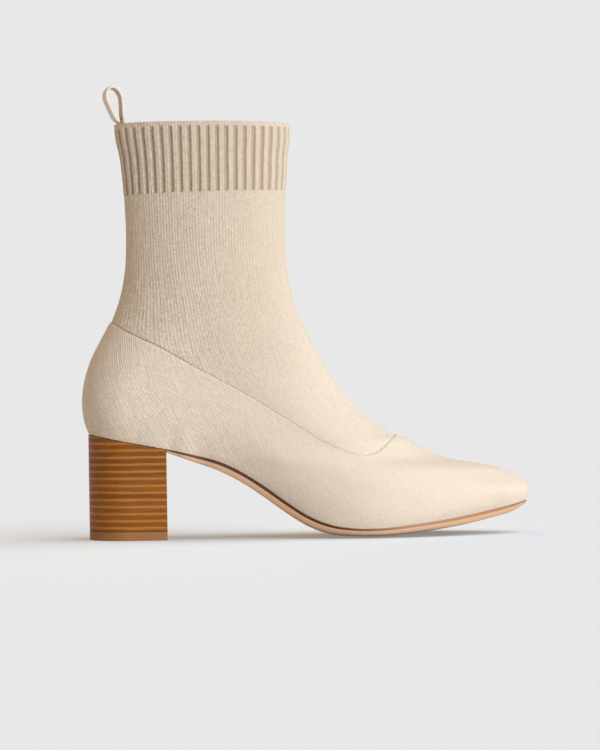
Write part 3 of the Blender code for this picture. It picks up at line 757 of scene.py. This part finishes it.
climb = np.linalg.norm(np.diff(tube_rows, axis=0), axis=2)
tube_climb = np.concatenate((np.zeros((1, COLUMNS)), np.cumsum(climb, axis=0)))
tube_climb = tube_climb - tube_climb[plain_count] + 0.5
shaft_courses = np.concatenate((tube_climb, tube_climb[inside]))
shaft_wales = np.tile(np.arange(COLUMNS + 1) / RIB_COLUMNS * RIB_WALES, (len(shaft_rows), 1))
shaft = knitted("sock_shaft", shaft_rows, shaft_wales, shaft_courses, shaft_knit)
# Painted shade: how far the yarn is darkened at each point, deepest in the rib grooves.
rib_groove_shade = np.zeros(shaft_rows.shape[:2])
rib_groove_shade[cuff] = rib_depth * np.clip((steps_off - 2.5) / 1.5, 0, 1)
shaft.data.attributes.new("rib_groove_shade", "FLOAT", "POINT").data.foreach_set("value", rib_groove_shade.ravel())
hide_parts("knit_shaft")
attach(shaft, "root")

# Seam thread
# A polyester thread of the knit's colour closes the seam. Its short stitches cross the butted
# edges, down in the fold between them.
STITCH_LENGTH = 0.0017
STITCH_PITCH = 0.0024
STITCH_LEAN = (0.75, 0.65)  # up, and along the seam
STITCH_BOW = 0.00025  # how far a stitch's ends are pulled in
SEAM_STEPS = 2880  # points along the seam that the stitches are set out by
THREAD = 0.00042
THREAD_DEPTH = 0.00030  # the stitches' middle lies this far inside the knit's face

seam_angle = equal_steps(SEAM_STEPS)
seam_grid = np.array([shaft_row(seam_angle, share) for share in (0.0, 0.01, 0.02)])
seam_line = seam_grid[0]
seam_far = so_far(np.linalg.norm(np.roll(seam_line, -1, axis=0) - seam_line, axis=1))
stitch_count = int(seam_far[-1] / STITCH_PITCH)
at = np.searchsorted(seam_far, (np.arange(stitch_count) + 0.5) * seam_far[-1] / stitch_count) - 1
seam_out = outward(seam_grid)[0][at]
seam_up = unit(seam_grid[1][at] - seam_line[at])
seam_side = unit(np.cross(seam_up, seam_out))
lean = unit(seam_up * STITCH_LEAN[0] + seam_side * STITCH_LEAN[1])
seam_middle = seam_line[at] - seam_out * THREAD_DEPTH


def ball_of_faces(rings):
    """Points and faces of a small ball, one across, from which stitches are drawn out."""
    bpy.ops.mesh.primitive_uv_sphere_add(segments=8, ring_count=rings, radius=0.5)
    ball = bpy.context.object
    points = np.array([vertex.co for vertex in ball.data.vertices])
    faces = [list(face.vertices) for face in ball.data.polygons]
    bpy.data.objects.remove(ball)
    return points, faces


def stitched(name, stitches, faces, finish):
    """One piece of many stitches, each with the faces of a ball."""
    points_each = len(stitches[0])
    all_faces = [
        [corner + number * points_each for corner in face]
        for number in range(len(stitches))
        for face in faces
    ]
    return new_piece(name, stitches, all_faces, finish)


def twisted_thread(name, colour, dark):
    """Sewing thread, whose plies show as fine darker turns."""
    twist = Finish(name)
    plies = twist.add("TexWave", twist.place(), 2600.0, 2.0, bands_direction="DIAGONAL")
    look = {"Base Color": twist.mix(plies, dark, colour), "Roughness": 0.6, "Sheen Weight": 0.2}
    return twist.surface(look)


capsule, capsule_faces = ball_of_faces(6)
long, wide, deep = capsule[:, 2] * STITCH_LENGTH, capsule[:, 0] * THREAD, capsule[:, 1] * THREAD
bowed = deep - (capsule[:, 2] * 2) ** 2 * STITCH_BOW
stitch_points = (
    seam_middle[:, None]
    + lean[:, None] * long[None, :, None]
    + np.cross(seam_out, lean)[:, None] * wide[None, :, None]
    + seam_out[:, None] * bowed[None, :, None]
)
cream_thread = twisted_thread("cream_thread", tint(226, 209, 186), tint(190, 168, 142))
thread = stitched("seam_thread", stitch_points, capsule_faces, cream_thread)
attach(thread, "root")

# Insole
# A board with a thin sock lining glued over it, seen through the collar. It lies inside the
# upper, on the turned-under margin.
INSOLE_EDGE = 0.0004  # round of its cut edge
ROUNDED_ABOVE = 50.0  # degrees by which an edge turns if it's rounded
SMOOTH_BELOW = 35.0


def picked(piece):
    """Selects one piece alone, for edit mode and modifiers."""
    bpy.ops.object.select_all(action="DESELECT")
    piece.select_set(True)
    bpy.context.view_layer.objects.active = piece


def remade(node, name, finish, width, segments):
    """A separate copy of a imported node: its loose triangles joined, its edges rounded to a width
    and shaded smoothly, and its own finish laid on."""
    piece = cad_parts[node].copy()
    piece.data = piece.data.copy()
    piece.name = piece.data.name = name
    piece.parent = None
    bpy.context.collection.objects.link(piece)
    piece.matrix_world = ((1, 0, 0, 0), (0, 1, 0, 0), (0, 0, 1, 0), (0, 0, 0, 1))
    picked(piece)
    bpy.ops.object.mode_set(mode="EDIT")
    bpy.ops.mesh.select_all(action="SELECT")
    bpy.ops.mesh.remove_doubles(threshold=0.00001)
    bpy.ops.mesh.tris_convert_to_quads(face_threshold=0.35, shape_threshold=0.7)
    bpy.ops.object.mode_set(mode="OBJECT")
    bevel = piece.modifiers.new("Edge", "BEVEL")
    bevel.width = width
    bevel.segments = segments
    bevel.limit_method = "ANGLE"
    bevel.angle_limit = np.radians(ROUNDED_ABOVE)
    bpy.ops.object.modifier_apply(modifier=bevel.name)
    bpy.ops.object.shade_smooth_by_angle(angle=np.radians(SMOOTH_BELOW))
    even = piece.modifiers.new("Even", "WEIGHTED_NORMAL")
    even.keep_sharp = True
    bpy.ops.object.modifier_apply(modifier=even.name)
    piece.data.materials.clear()
    piece.data.materials.append(finish)
    return piece


def sock_lining(name, colour, dark):
    """Thin smooth lining: a soft, faintly pebbled face with a matt bloom."""
    lining = Finish(name)
    place = lining.place()
    pebble = lining.add("TexVoronoi", place, None, 1500.0, feature="SMOOTH_F1")
    shades = lining.mix(lining.noise(place, 40.0, 4.0, 0.6), dark, colour)
    return lining.surface({"Base Color": shades, "Roughness": 0.7}, pebble, 0.5, 0.0001)


beige_lining = sock_lining("beige_sock_lining", tint(222, 203, 178), tint(205, 184, 157))
insole = remade("insole", "insole_lining", beige_lining, INSOLE_EDGE, 2)
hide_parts("insole")
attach(insole, "root")

# Outsole
# A thin leather sole from the heel breast to the toe, cut to the feather edge and glued under
# the margin. Its edge is dyed dark along the top, where it meets the knit, and tan below. The dark
# line also carries painted shade from the knit's overhang, darkest behind the ball and fading to the
# toe.
SOLE_THICKNESS = 0.0031  # under the ball
CLEARANCE = 0.0003
GLUE_LINE = 0.00045  # clearance square to the turned-under margin, and beside the loop's tape
BREAST_SKEW = 0.0028  # how much further back the breast lies on the inner side
EDGE_LIP = 0.00025  # the dyed line along the top lies back from the edge by this much
EDGE_BULGE = 0.00030  # and the tan edge below it swells out
EDGE_LEFT = 0.02  # least share of the half width that is left at the tip
GLUE_SKIN = 0.00010  # glue left between the sole and the knit
BREAST_X = HEEL_LENGTH / 2
TIP_FROM = 0.205  # the sole's sections crowd together from here
TIP_SHORT = 0.00002  # to just short of the upper's tip

# Outsole. along: 0 at the heel breast, 1 at the toe. thick: share of SOLE_THICKNESS.
SOLE = profile(
    "along thick",
    (0, 0.45),
    (0.12, 1.4),
    (0.28, 1.75),
    (0.4, 1.4),
    (0.48, 1),
    (0.7, 1.05),
    (0.88, 1.22),
    (0.96, 1),
    (1, 0.3),
)

# Round the sole's section. over: share of its thickness above the bottom. out: shares of
# EDGE_LIP inwards (negative) or of EDGE_BULGE outwards. band: 0 dyed line, 1 tan edge, 2 below.
EDGE = table(
    "over out band",
    (1, -2.5, 0),
    (1, -1, 0),
    (0.86, -0.8, 0.1),
    (0.72, -0.7, 0.35),
    (0.67, -0.1, 0.6),
    (0.6, 0.7, 0.85),
    (0.45, 1, 1),
    (0.25, 0.7, 1),
    (0.1, -0.3, 1.1),
    (0.02, -1.4, 1.5),
    (0, -3, 2),
)


def steepness(x):
    """Upright thickness of a layer on the arch for each unit measured square to it."""
    step = 0.001
    return np.sqrt(1 + ((feather_z(x + step) - feather_z(x - step)) / (2 * step)) ** 2)


sole_start = BREAST_X + CLEARANCE
tip_shares = 1 - np.linspace(1, 0, 26) ** 2
tip_x = blend(TIP_FROM, FOOT_FRONT - TIP_SHORT, tip_shares)
sole_x = np.r_[np.linspace(sole_start, TIP_FROM, 110), tip_x[1:]]


def sole_base(x, y):
    """Underside of the sole: flat where the ball stands on the floor."""
    thick = SOLE_THICKNESS * SOLE["thick"]((x - sole_start) / (FOOT_FRONT - sole_start))
    return np.maximum(bottom_z(x, y) - GLUE_LINE * steepness(x) - thick, 0.0)


def edge_profile(side):
    """Rows along one side of the sole, from the top of its edge round to the underside."""
    way = -1 if side == "outer" else 1
    half = feather_half(sole_x, side)
    out = np.where(EDGE["out"] < 0, EDGE["out"] * EDGE_LIP, EDGE["out"] * EDGE_BULGE)
    reach = np.maximum(half[None] + out[:, None], EDGE_LEFT * half[None])
    y = centre_y(sole_x) + way * reach
    top = bottom_z(sole_x, y) - GLUE_SKIN
    z = blend(sole_base(sole_x, y), top, EDGE["over"][:, None])
    x = np.broadcast_to(sole_x, z.shape)
    return np.stack((x, y, z), axis=-1)


outer_edge, inner_edge = edge_profile("outer"), edge_profile("inner")
across_shares = np.linspace(0, 1, 15)[1:-1]
under = blend(outer_edge[-1], inner_edge[-1], across_shares[:, None, None])
under[..., 2] = sole_base(under[..., 0], under[..., 1])
over = blend(inner_edge[0], outer_edge[0], across_shares[:, None, None])
over[..., 2] = bottom_z(over[..., 0], over[..., 1]) - GLUE_SKIN
sole_rows = np.concatenate((outer_edge, under, inner_edge[::-1], over)).transpose(1, 0, 2)
back_end = sole_rows[0, :, 1]
sole_rows[0, :, 0] -= BREAST_SKEW * (back_end - back_end.min()) / np.ptp(back_end)


def sole_leather(name, dye_in_painted_shade, dye_out_of_shade, tan, tan_dark, under_tan):
    """Sole leather: a dyed line with painted shade from the overhanging knit, which fades towards
    the toe, a burnished tan edge of fine fibres and a smooth underside."""
    leather = Finish(name)
    add, mix, ramp = leather.add, leather.mix, leather.ramp
    band = add("Attribute", give="Fac", attribute_name="edge_band")
    place = leather.place()
    stretch = add("Mapping", place, named={"Scale": (60.0, 60.0, 900.0)})
    fibre = leather.noise(stretch, 3.0, 3.0, 0.6)
    cloud = leather.noise(place, 55.0, 4.0, 0.6)
    below = mix(ramp(band, 1.2, 2.0), mix(fibre, tan_dark, tan), under_tan)
    # Painted shade: the dyed line is darker from the breast to behind the ball, under the knit's
    # overhang, and lighter towards the toe.
    line = mix(ramp(add("SeparateXYZ", place), 0.112, 0.165), dye_in_painted_shade, dye_out_of_shade)
    look = {
        "Base Color": mix(ramp(band, 0.45, 0.75), line, below),
        "Roughness": 0.50,
        "Specular IOR Level": 0.18,
        "Coat Weight": 0.04,
        "Coat Roughness": 0.40,
    }
    return leather.surface(look, leather.math("ADD", fibre, cloud), 0.35, 0.0001)


tan_sole = sole_leather(
    "tan_sole",
    dye_in_painted_shade=tint(78, 38, 12),
    dye_out_of_shade=tint(150, 104, 72),
    tan=tint(184, 144, 111),
    tan_dark=tint(170, 130, 97),
    under_tan=tint(184, 157, 138),
)
sole = new_piece("leather_sole", sole_rows, capped(sole_rows), tan_sole, 55)
bands = np.r_[EDGE["band"], np.full(len(under), 2.0), EDGE["band"][::-1], np.zeros(len(over))]
band = sole.data.attributes.new("edge_band", "FLOAT", "POINT")
band.data.foreach_set("value", np.tile(bands, len(sole_rows)))
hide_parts("outsole")
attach(sole, "root")

# Heel block
# A block turned to a D and faced with stacked leather board: brown layers, each with a lighter
# glue line under it, sanded flush, stained and lightly polished.
LAYER = 0.00400  # one layer with its glue line
LAYER_TOP = 0.05125  # height of one glue line, from which the others count down
HEEL_EDGE = 0.0005


def stacked_board(name, brown, brown_dark, line):
    """Stacked leather board: brown layers with lighter lines between, blurred by the sanding."""
    board = Finish(name)
    add, math, times = board.add, board.math, board.times
    place = board.place()
    height = add("SeparateXYZ", place, give=2)
    wander = times(board.noise(place, 38.0, 2.0, 0.5), 0.0009, -0.00045)
    level = math("DIVIDE", math("ADD", math("SUBTRACT", height, LAYER_TOP), wander), LAYER)
    phase = math("ABSOLUTE", math("SUBTRACT", math("FRACT", math("ADD", level, 0.5)), 0.5))
    glue = board.ramp(phase, 0.00, 0.30, 1.0, 0.0)
    stretch = add("Mapping", place, named={"Scale": (110.0, 110.0, 1500.0)})
    fibre = board.noise(stretch, 1.0, 4.0, 0.65)
    fleck = board.noise(place, 900.0, 2.0, 0.6)
    layer_seed = add("CombineXYZ", None, None, math("FLOOR", level))
    own_tone = add("TexWhiteNoise", layer_seed, noise_dimensions="3D")
    tone = math("ADD", times(fibre, 1.3, -0.35), times(fleck, 0.5, -0.25))
    tone = math("ADD", tone, times(own_tone, 0.3, -0.15))
    glued = times(glue, times(fibre, 0.9, 0.25))
    raised = math("ADD", times(glue, -0.5), times(fibre, 0.6))
    look = {
        "Base Color": board.mix(glued, board.mix(tone, brown_dark, brown), line),
        "Roughness": 0.50,
        "Specular IOR Level": 0.12,
        "Coat Weight": 0.04,
        "Coat Roughness": 0.35,
    }
    return board.surface(look, raised, 0.6, 0.00012)


brown_board = stacked_board(
    "stacked_brown_leather", tint(146, 86, 24), tint(100, 52, 14), tint(174, 112, 44)
)
heel = remade("heel_block", "stacked_heel", brown_board, HEEL_EDGE, 3)
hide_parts("heel_block")
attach(heel, "root")

# Heel top piece
# A flat rubber lift nailed and glued under the block, trimmed flush with it, with a fine matt
# face and a slightly rounded lower edge.
LIFT_EDGE = 0.0006


def matt_rubber(name, colour, dark):
    """Solid rubber with a fine moulded grain."""
    rubber = Finish(name)
    place = rubber.place()
    shades = rubber.mix(rubber.noise(place, 70.0, 3.0, 0.6), dark, colour)
    grain = rubber.noise(place, 2200.0, 2.0, 0.6)
    look = {"Base Color": shades, "Roughness": 0.6, "Specular IOR Level": 0.25}
    return rubber.surface(look, grain, 0.4, 0.00006)


tan_rubber = matt_rubber("tan_rubber", tint(148, 98, 56), tint(130, 84, 46))
lift = remade("heel_top_piece", "heel_lift", tan_rubber, LIFT_EDGE, 3)
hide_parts("heel_top_piece")
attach(lift, "root")

# Pull loop
# A 10 mm woven tape, folded into a loop and sewn inside the back of the collar. It stands up,
# leans backwards and is turned a little, so its face shows beside its edge.
TAPE_WIDTH = 0.0100
LOOP_HEIGHT = 0.0222  # collar to the top of the loop
LOOP_TAIL = 0.0120  # both ends sewn inside the collar
TAPE_THICK = 0.00142
TAPE_TURN = 15.0  # degrees
TAPE_REACH = 0.0092  # how far the turned loop's middle leans out behind its root
TAPE_SHIFT = 0.0009  # and how far the whole loop stands back above the collar
TAPE_INSET = 0.00075  # half the tape's thickness and a little play
TURN_WITHIN = 0.15  # share of the loop's height over which it turns, above the collar
SHIFT_WITHIN = 0.25  # and over which it stands back

# Pull loop's centre line. out: share of TAPE_REACH behind the tape's root. up: share of
# LOOP_HEIGHT above the collar.
LOOP = table(
    "out up",
    (0, -0.06),
    (0.06, 0.03),
    (0.19, 0.07),
    (0.34, 0.14),
    (0.5, 0.28),
    (0.72, 0.48),
    (0.88, 0.65),
    (0.9, 0.8),
    (0.75, 0.92),
    (0.48, 0.965),
    (0.18, 0.9),
    (-0.03, 0.76),
    (-0.1, 0.58),
    (-0.12, 0.38),
    (-0.13, 0.2),
    (-0.13, 0.05),
    (-0.13, -0.06),
)

# A quarter of the tape's section. along: shares of half its width. up: of half its thickness.
TAPE_EDGE = table(
    "along up",
    (0, 1),
    (0.5, 1),
    (0.82, 0.98),
    (0.93, 0.86),
    (0.985, 0.5),
    (1, 0),
)

end_radius = COLLAR_WIDTH**2 / (2 * COLLAR_LENGTH) - WALL  # of the collar's inside at the back
wall_bow = TAPE_WIDTH**2 / (8 * end_radius)  # how much further in it stands at the tape's edges
root_x = float(back_x(COLLAR_HEIGHT)) + WALL + GLUE_LINE + wall_bow + TAPE_INSET
knots = np.linspace(0, 1, len(LOOP["up"]))
places = np.linspace(0, 1, 121)
line_z = COLLAR_HEIGHT + LOOP_HEIGHT * curve(knots, LOOP["up"])(places)
shifted = np.clip((line_z - COLLAR_HEIGHT) / (SHIFT_WITHIN * LOOP_HEIGHT), 0, 1)
line_x = root_x - TAPE_REACH * curve(knots, LOOP["out"])(places) - TAPE_SHIFT * shifted
tail_z = COLLAR_HEIGHT - LOOP_TAIL
tail_lean = float(back_x(tail_z) - back_x(COLLAR_HEIGHT))
line_x = np.r_[line_x[0] + tail_lean, line_x, line_x[-1] + tail_lean]
line_z = np.r_[tail_z, line_z, tail_z]
run = unit(np.stack((np.gradient(line_x), np.gradient(line_z)), axis=1))
reach, rise = TAPE_EDGE["along"], TAPE_EDGE["up"]
along = np.r_[reach, reach[-2::-1], -reach[1:], -reach[-2:0:-1]] * TAPE_WIDTH / 2
up = np.r_[rise, -rise[-2::-1], -rise[1:], rise[-2:0:-1]] * TAPE_THICK / 2
from_root = line_x[:, None] - run[:, 1:] * up - root_x
turned = np.clip((line_z - COLLAR_HEIGHT) / (TURN_WITHIN * LOOP_HEIGHT), 0, 1)[:, None]
turn = np.radians(TAPE_TURN) * turned
tape_points = np.stack(
    (
        root_x + from_root * np.cos(turn) - along * np.sin(turn),
        from_root * np.sin(turn) + along * np.cos(turn),
        line_z[:, None] + run[:, :1] * up,
    ),
    axis=-1,
)


def woven_tape(name, colour, dark):
    """Narrow twill tape: fine slanting ribs and a firm woven edge."""
    twill = Finish(name)
    add, math, times = twill.add, twill.math, twill.times
    across = add("SeparateXYZ", add("UVMap", uv_map="weave"))
    along = across.node.outputs[1]
    ribs = twill.wave("SINE", math("ADD", times(across, 3200.0), times(along, 3200.0)), np.pi)
    rows = twill.wave("SINE", along, 9000.0)
    yarn = times(ribs, times(rows, 0.35, 0.65))
    selvedge = add("MapRange", math("ABSOLUTE", across), 0.0040, 0.0047, 0.0, 0.35)
    shades = twill.mix(math("ADD", yarn, selvedge), dark, colour)
    look = {"Base Color": shades, "Roughness": 0.8, "Sheen Weight": 0.15}
    return twill.surface(look, yarn, 0.8, 0.00006)


cream_tape = woven_tape("cream_tape", tint(216, 198, 176), tint(190, 168, 143))
tape = new_piece("tape_loop", tape_points, capped(tape_points), cream_tape, 60)
tape_length = so_far(np.hypot(np.diff(line_x), np.diff(line_z)))
corner_of = np.array([loop.vertex_index for loop in tape.data.loops])
ring, corner = np.divmod(corner_of, len(along))
weave_at = np.stack((along[corner], tape_length[ring]), axis=1)
tape.data.uv_layers.new(name="weave").uv.foreach_set("vector", weave_at.ravel())
picked(tape)
bpy.ops.object.mode_set(mode="EDIT")
bpy.ops.mesh.select_all(action="SELECT")
bpy.ops.mesh.normals_make_consistent(inside=False)
bpy.ops.object.mode_set(mode="OBJECT")
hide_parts("pull_loop")
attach(tape, "root")

# Loop's bar tack
# A short, close row of tan stitches across the loop's root, which holds both ends to the cuff.
TACK_THREAD = 0.00050
TACK_WIDTH = 0.0030
TACK_DEPTH = 0.0028  # through the tape and both of its ends
TACK_TURNS = 4
TACK_SPACING = 0.8  # in threads
TACK_PLACE = (root_x + 0.0008, -TAPE_WIDTH / 2 + 0.0006, COLLAR_HEIGHT + 0.0010)

ball, ball_faces = ball_of_faces(8)
tack_stitches = [
    ball * (TACK_DEPTH, TACK_WIDTH, TACK_THREAD)
    + TACK_PLACE
    + (0.0, 0.0, (number - (TACK_TURNS - 1) / 2) * TACK_THREAD * TACK_SPACING)
    for number in range(TACK_TURNS)
]
tan_thread = twisted_thread("tan_thread", tint(212, 172, 138), tint(184, 140, 106))
tack = stitched("bar_tack", tack_stitches, ball_faces, tan_thread)
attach(tack, "root")

# Floor
# The studio's pale grey floor, wide enough to fill the view behind the boot. It glows a
# little and warm: painted light, which lifts and warms the shadows on it and under the boot.
FLOOR_RADIUS = 9.0
FLOOR_GLOW = 0.190

bpy.ops.mesh.primitive_circle_add(vertices=128, radius=FLOOR_RADIUS, fill_type="NGON")
floor = bpy.context.object
floor.name = floor.data.name = "studio_floor"
floor_look = {
    "Base Color": (0.613, 0.6275, 0.6275, 1.0),
    # painted light: a warm glow that lifts the shadows on the floor
    "Emission Color": (1.0, 0.96, 0.92, 1.0),
    "Emission Strength": FLOOR_GLOW,
    "Roughness": 1.0,
    "Specular IOR Level": 0.0,
}
floor.data.materials.append(Finish("pale_floor").surface(floor_look))

# Light
# Soft studio light: a broad bright bank high on the right, a dim warm one on the left, a softbox
# low in front that lights the boot alone, and an even pale band round the horizon that carries
# on the floor's colour.
BANK_FROM = (0.58, -0.16, 0.80)
BANK_LIGHT = (2.36, 2.58, 2.90)
FILL_FROM = (-0.80, 0.42, 0.43)
FILL_LIGHT = (1.40, 0.92, 0.40)
BANK_EDGE = 0.55  # cosine of the angle at which a bank has faded out
HORIZON = (0.807, 0.807, 0.807, 1.0)
BAND_EDGE = (0.15, 0.30)  # how high the horizon's band fades out, as sines
BOX_PLACE = (0.66, -0.86, 0.12)
BOX_AIM = (0.10, 0.0, 0.05)
BOX_WIDTH = 0.60
BOX_HEIGHT = 0.24
BOX_WATTS = 11.5

studio = bpy.data.worlds.new("studio")
bpy.context.scene.world = studio
studio.use_nodes = True
sky = Nodes(studio.node_tree)
look = sky.add("TexCoord", give="Generated")


def bank_of_light(facing, strength):
    """A soft round bank in the sky, brightest at its middle."""
    toward = sky.add("VectorMath", look, facing, give="Value", operation="DOT_PRODUCT")
    soft = sky.ramp(toward, BANK_EDGE, 1.0)
    return sky.add("VectorMath", strength, named={"Scale": soft}, operation="SCALE")


bank, fill = bank_of_light(BANK_FROM, BANK_LIGHT), bank_of_light(FILL_FROM, FILL_LIGHT)
both = sky.add("VectorMath", bank, fill, operation="ADD")
above = sky.ramp(sky.add("SeparateXYZ", look, give=2), *BAND_EDGE)
sky.feed(studio.node_tree.nodes["Background"], {"Color": sky.mix(above, HORIZON, both)})
bpy.context.scene.view_settings.view_transform = "Standard"

bpy.ops.object.light_add(type="AREA", location=BOX_PLACE)
softbox = bpy.context.object
softbox.name = softbox.data.name = "softbox"
softbox.data.shape = "RECTANGLE"
softbox.data.size = BOX_WIDTH
softbox.data.size_y = BOX_HEIGHT
softbox.data.color = (0.78, 0.87, 1.0)
softbox.data.energy = BOX_WATTS
facing_boot = Vector(BOX_AIM) - Vector(BOX_PLACE)
softbox.rotation_euler = facing_boot.to_track_quat("-Z", "Y").to_euler()
lit_boot = bpy.data.collections.new("lit_boot")
for piece in (panel, shaft, thread, insole, sole, heel, lift, tape, tack):
    lit_boot.objects.link(piece)
softbox.light_linking.receiver_collection = lit_boot

# Camera
# Level with the ankle, square to the boot's outer side and far back, rolled by under a degree.
VIEW_SCALE = 1739.0  # pixels of the photograph for each metre at the boot
VIEW_PIXELS = 600  # the photograph's width
VIEW_FAR = 1.650
VIEW_ROLL = 0.9  # degrees
SENSOR = 36.0

camera_data = bpy.data.cameras.new("camera")
camera_data.sensor_fit = "HORIZONTAL"
camera_data.sensor_width = SENSOR
camera_data.lens = SENSOR * VIEW_FAR / (VIEW_PIXELS / VIEW_SCALE)
camera_data.clip_end = 50.0
camera = bpy.data.objects.new("camera", camera_data)
bpy.context.collection.objects.link(camera)
camera.location = (0.0993, -VIEW_FAR, 0.0926)
camera.rotation_euler = (np.radians(90), 0.0, 0.0)
camera.rotation_euler.rotate_axis("Z", np.radians(-VIEW_ROLL))
bpy.context.scene.camera = camera
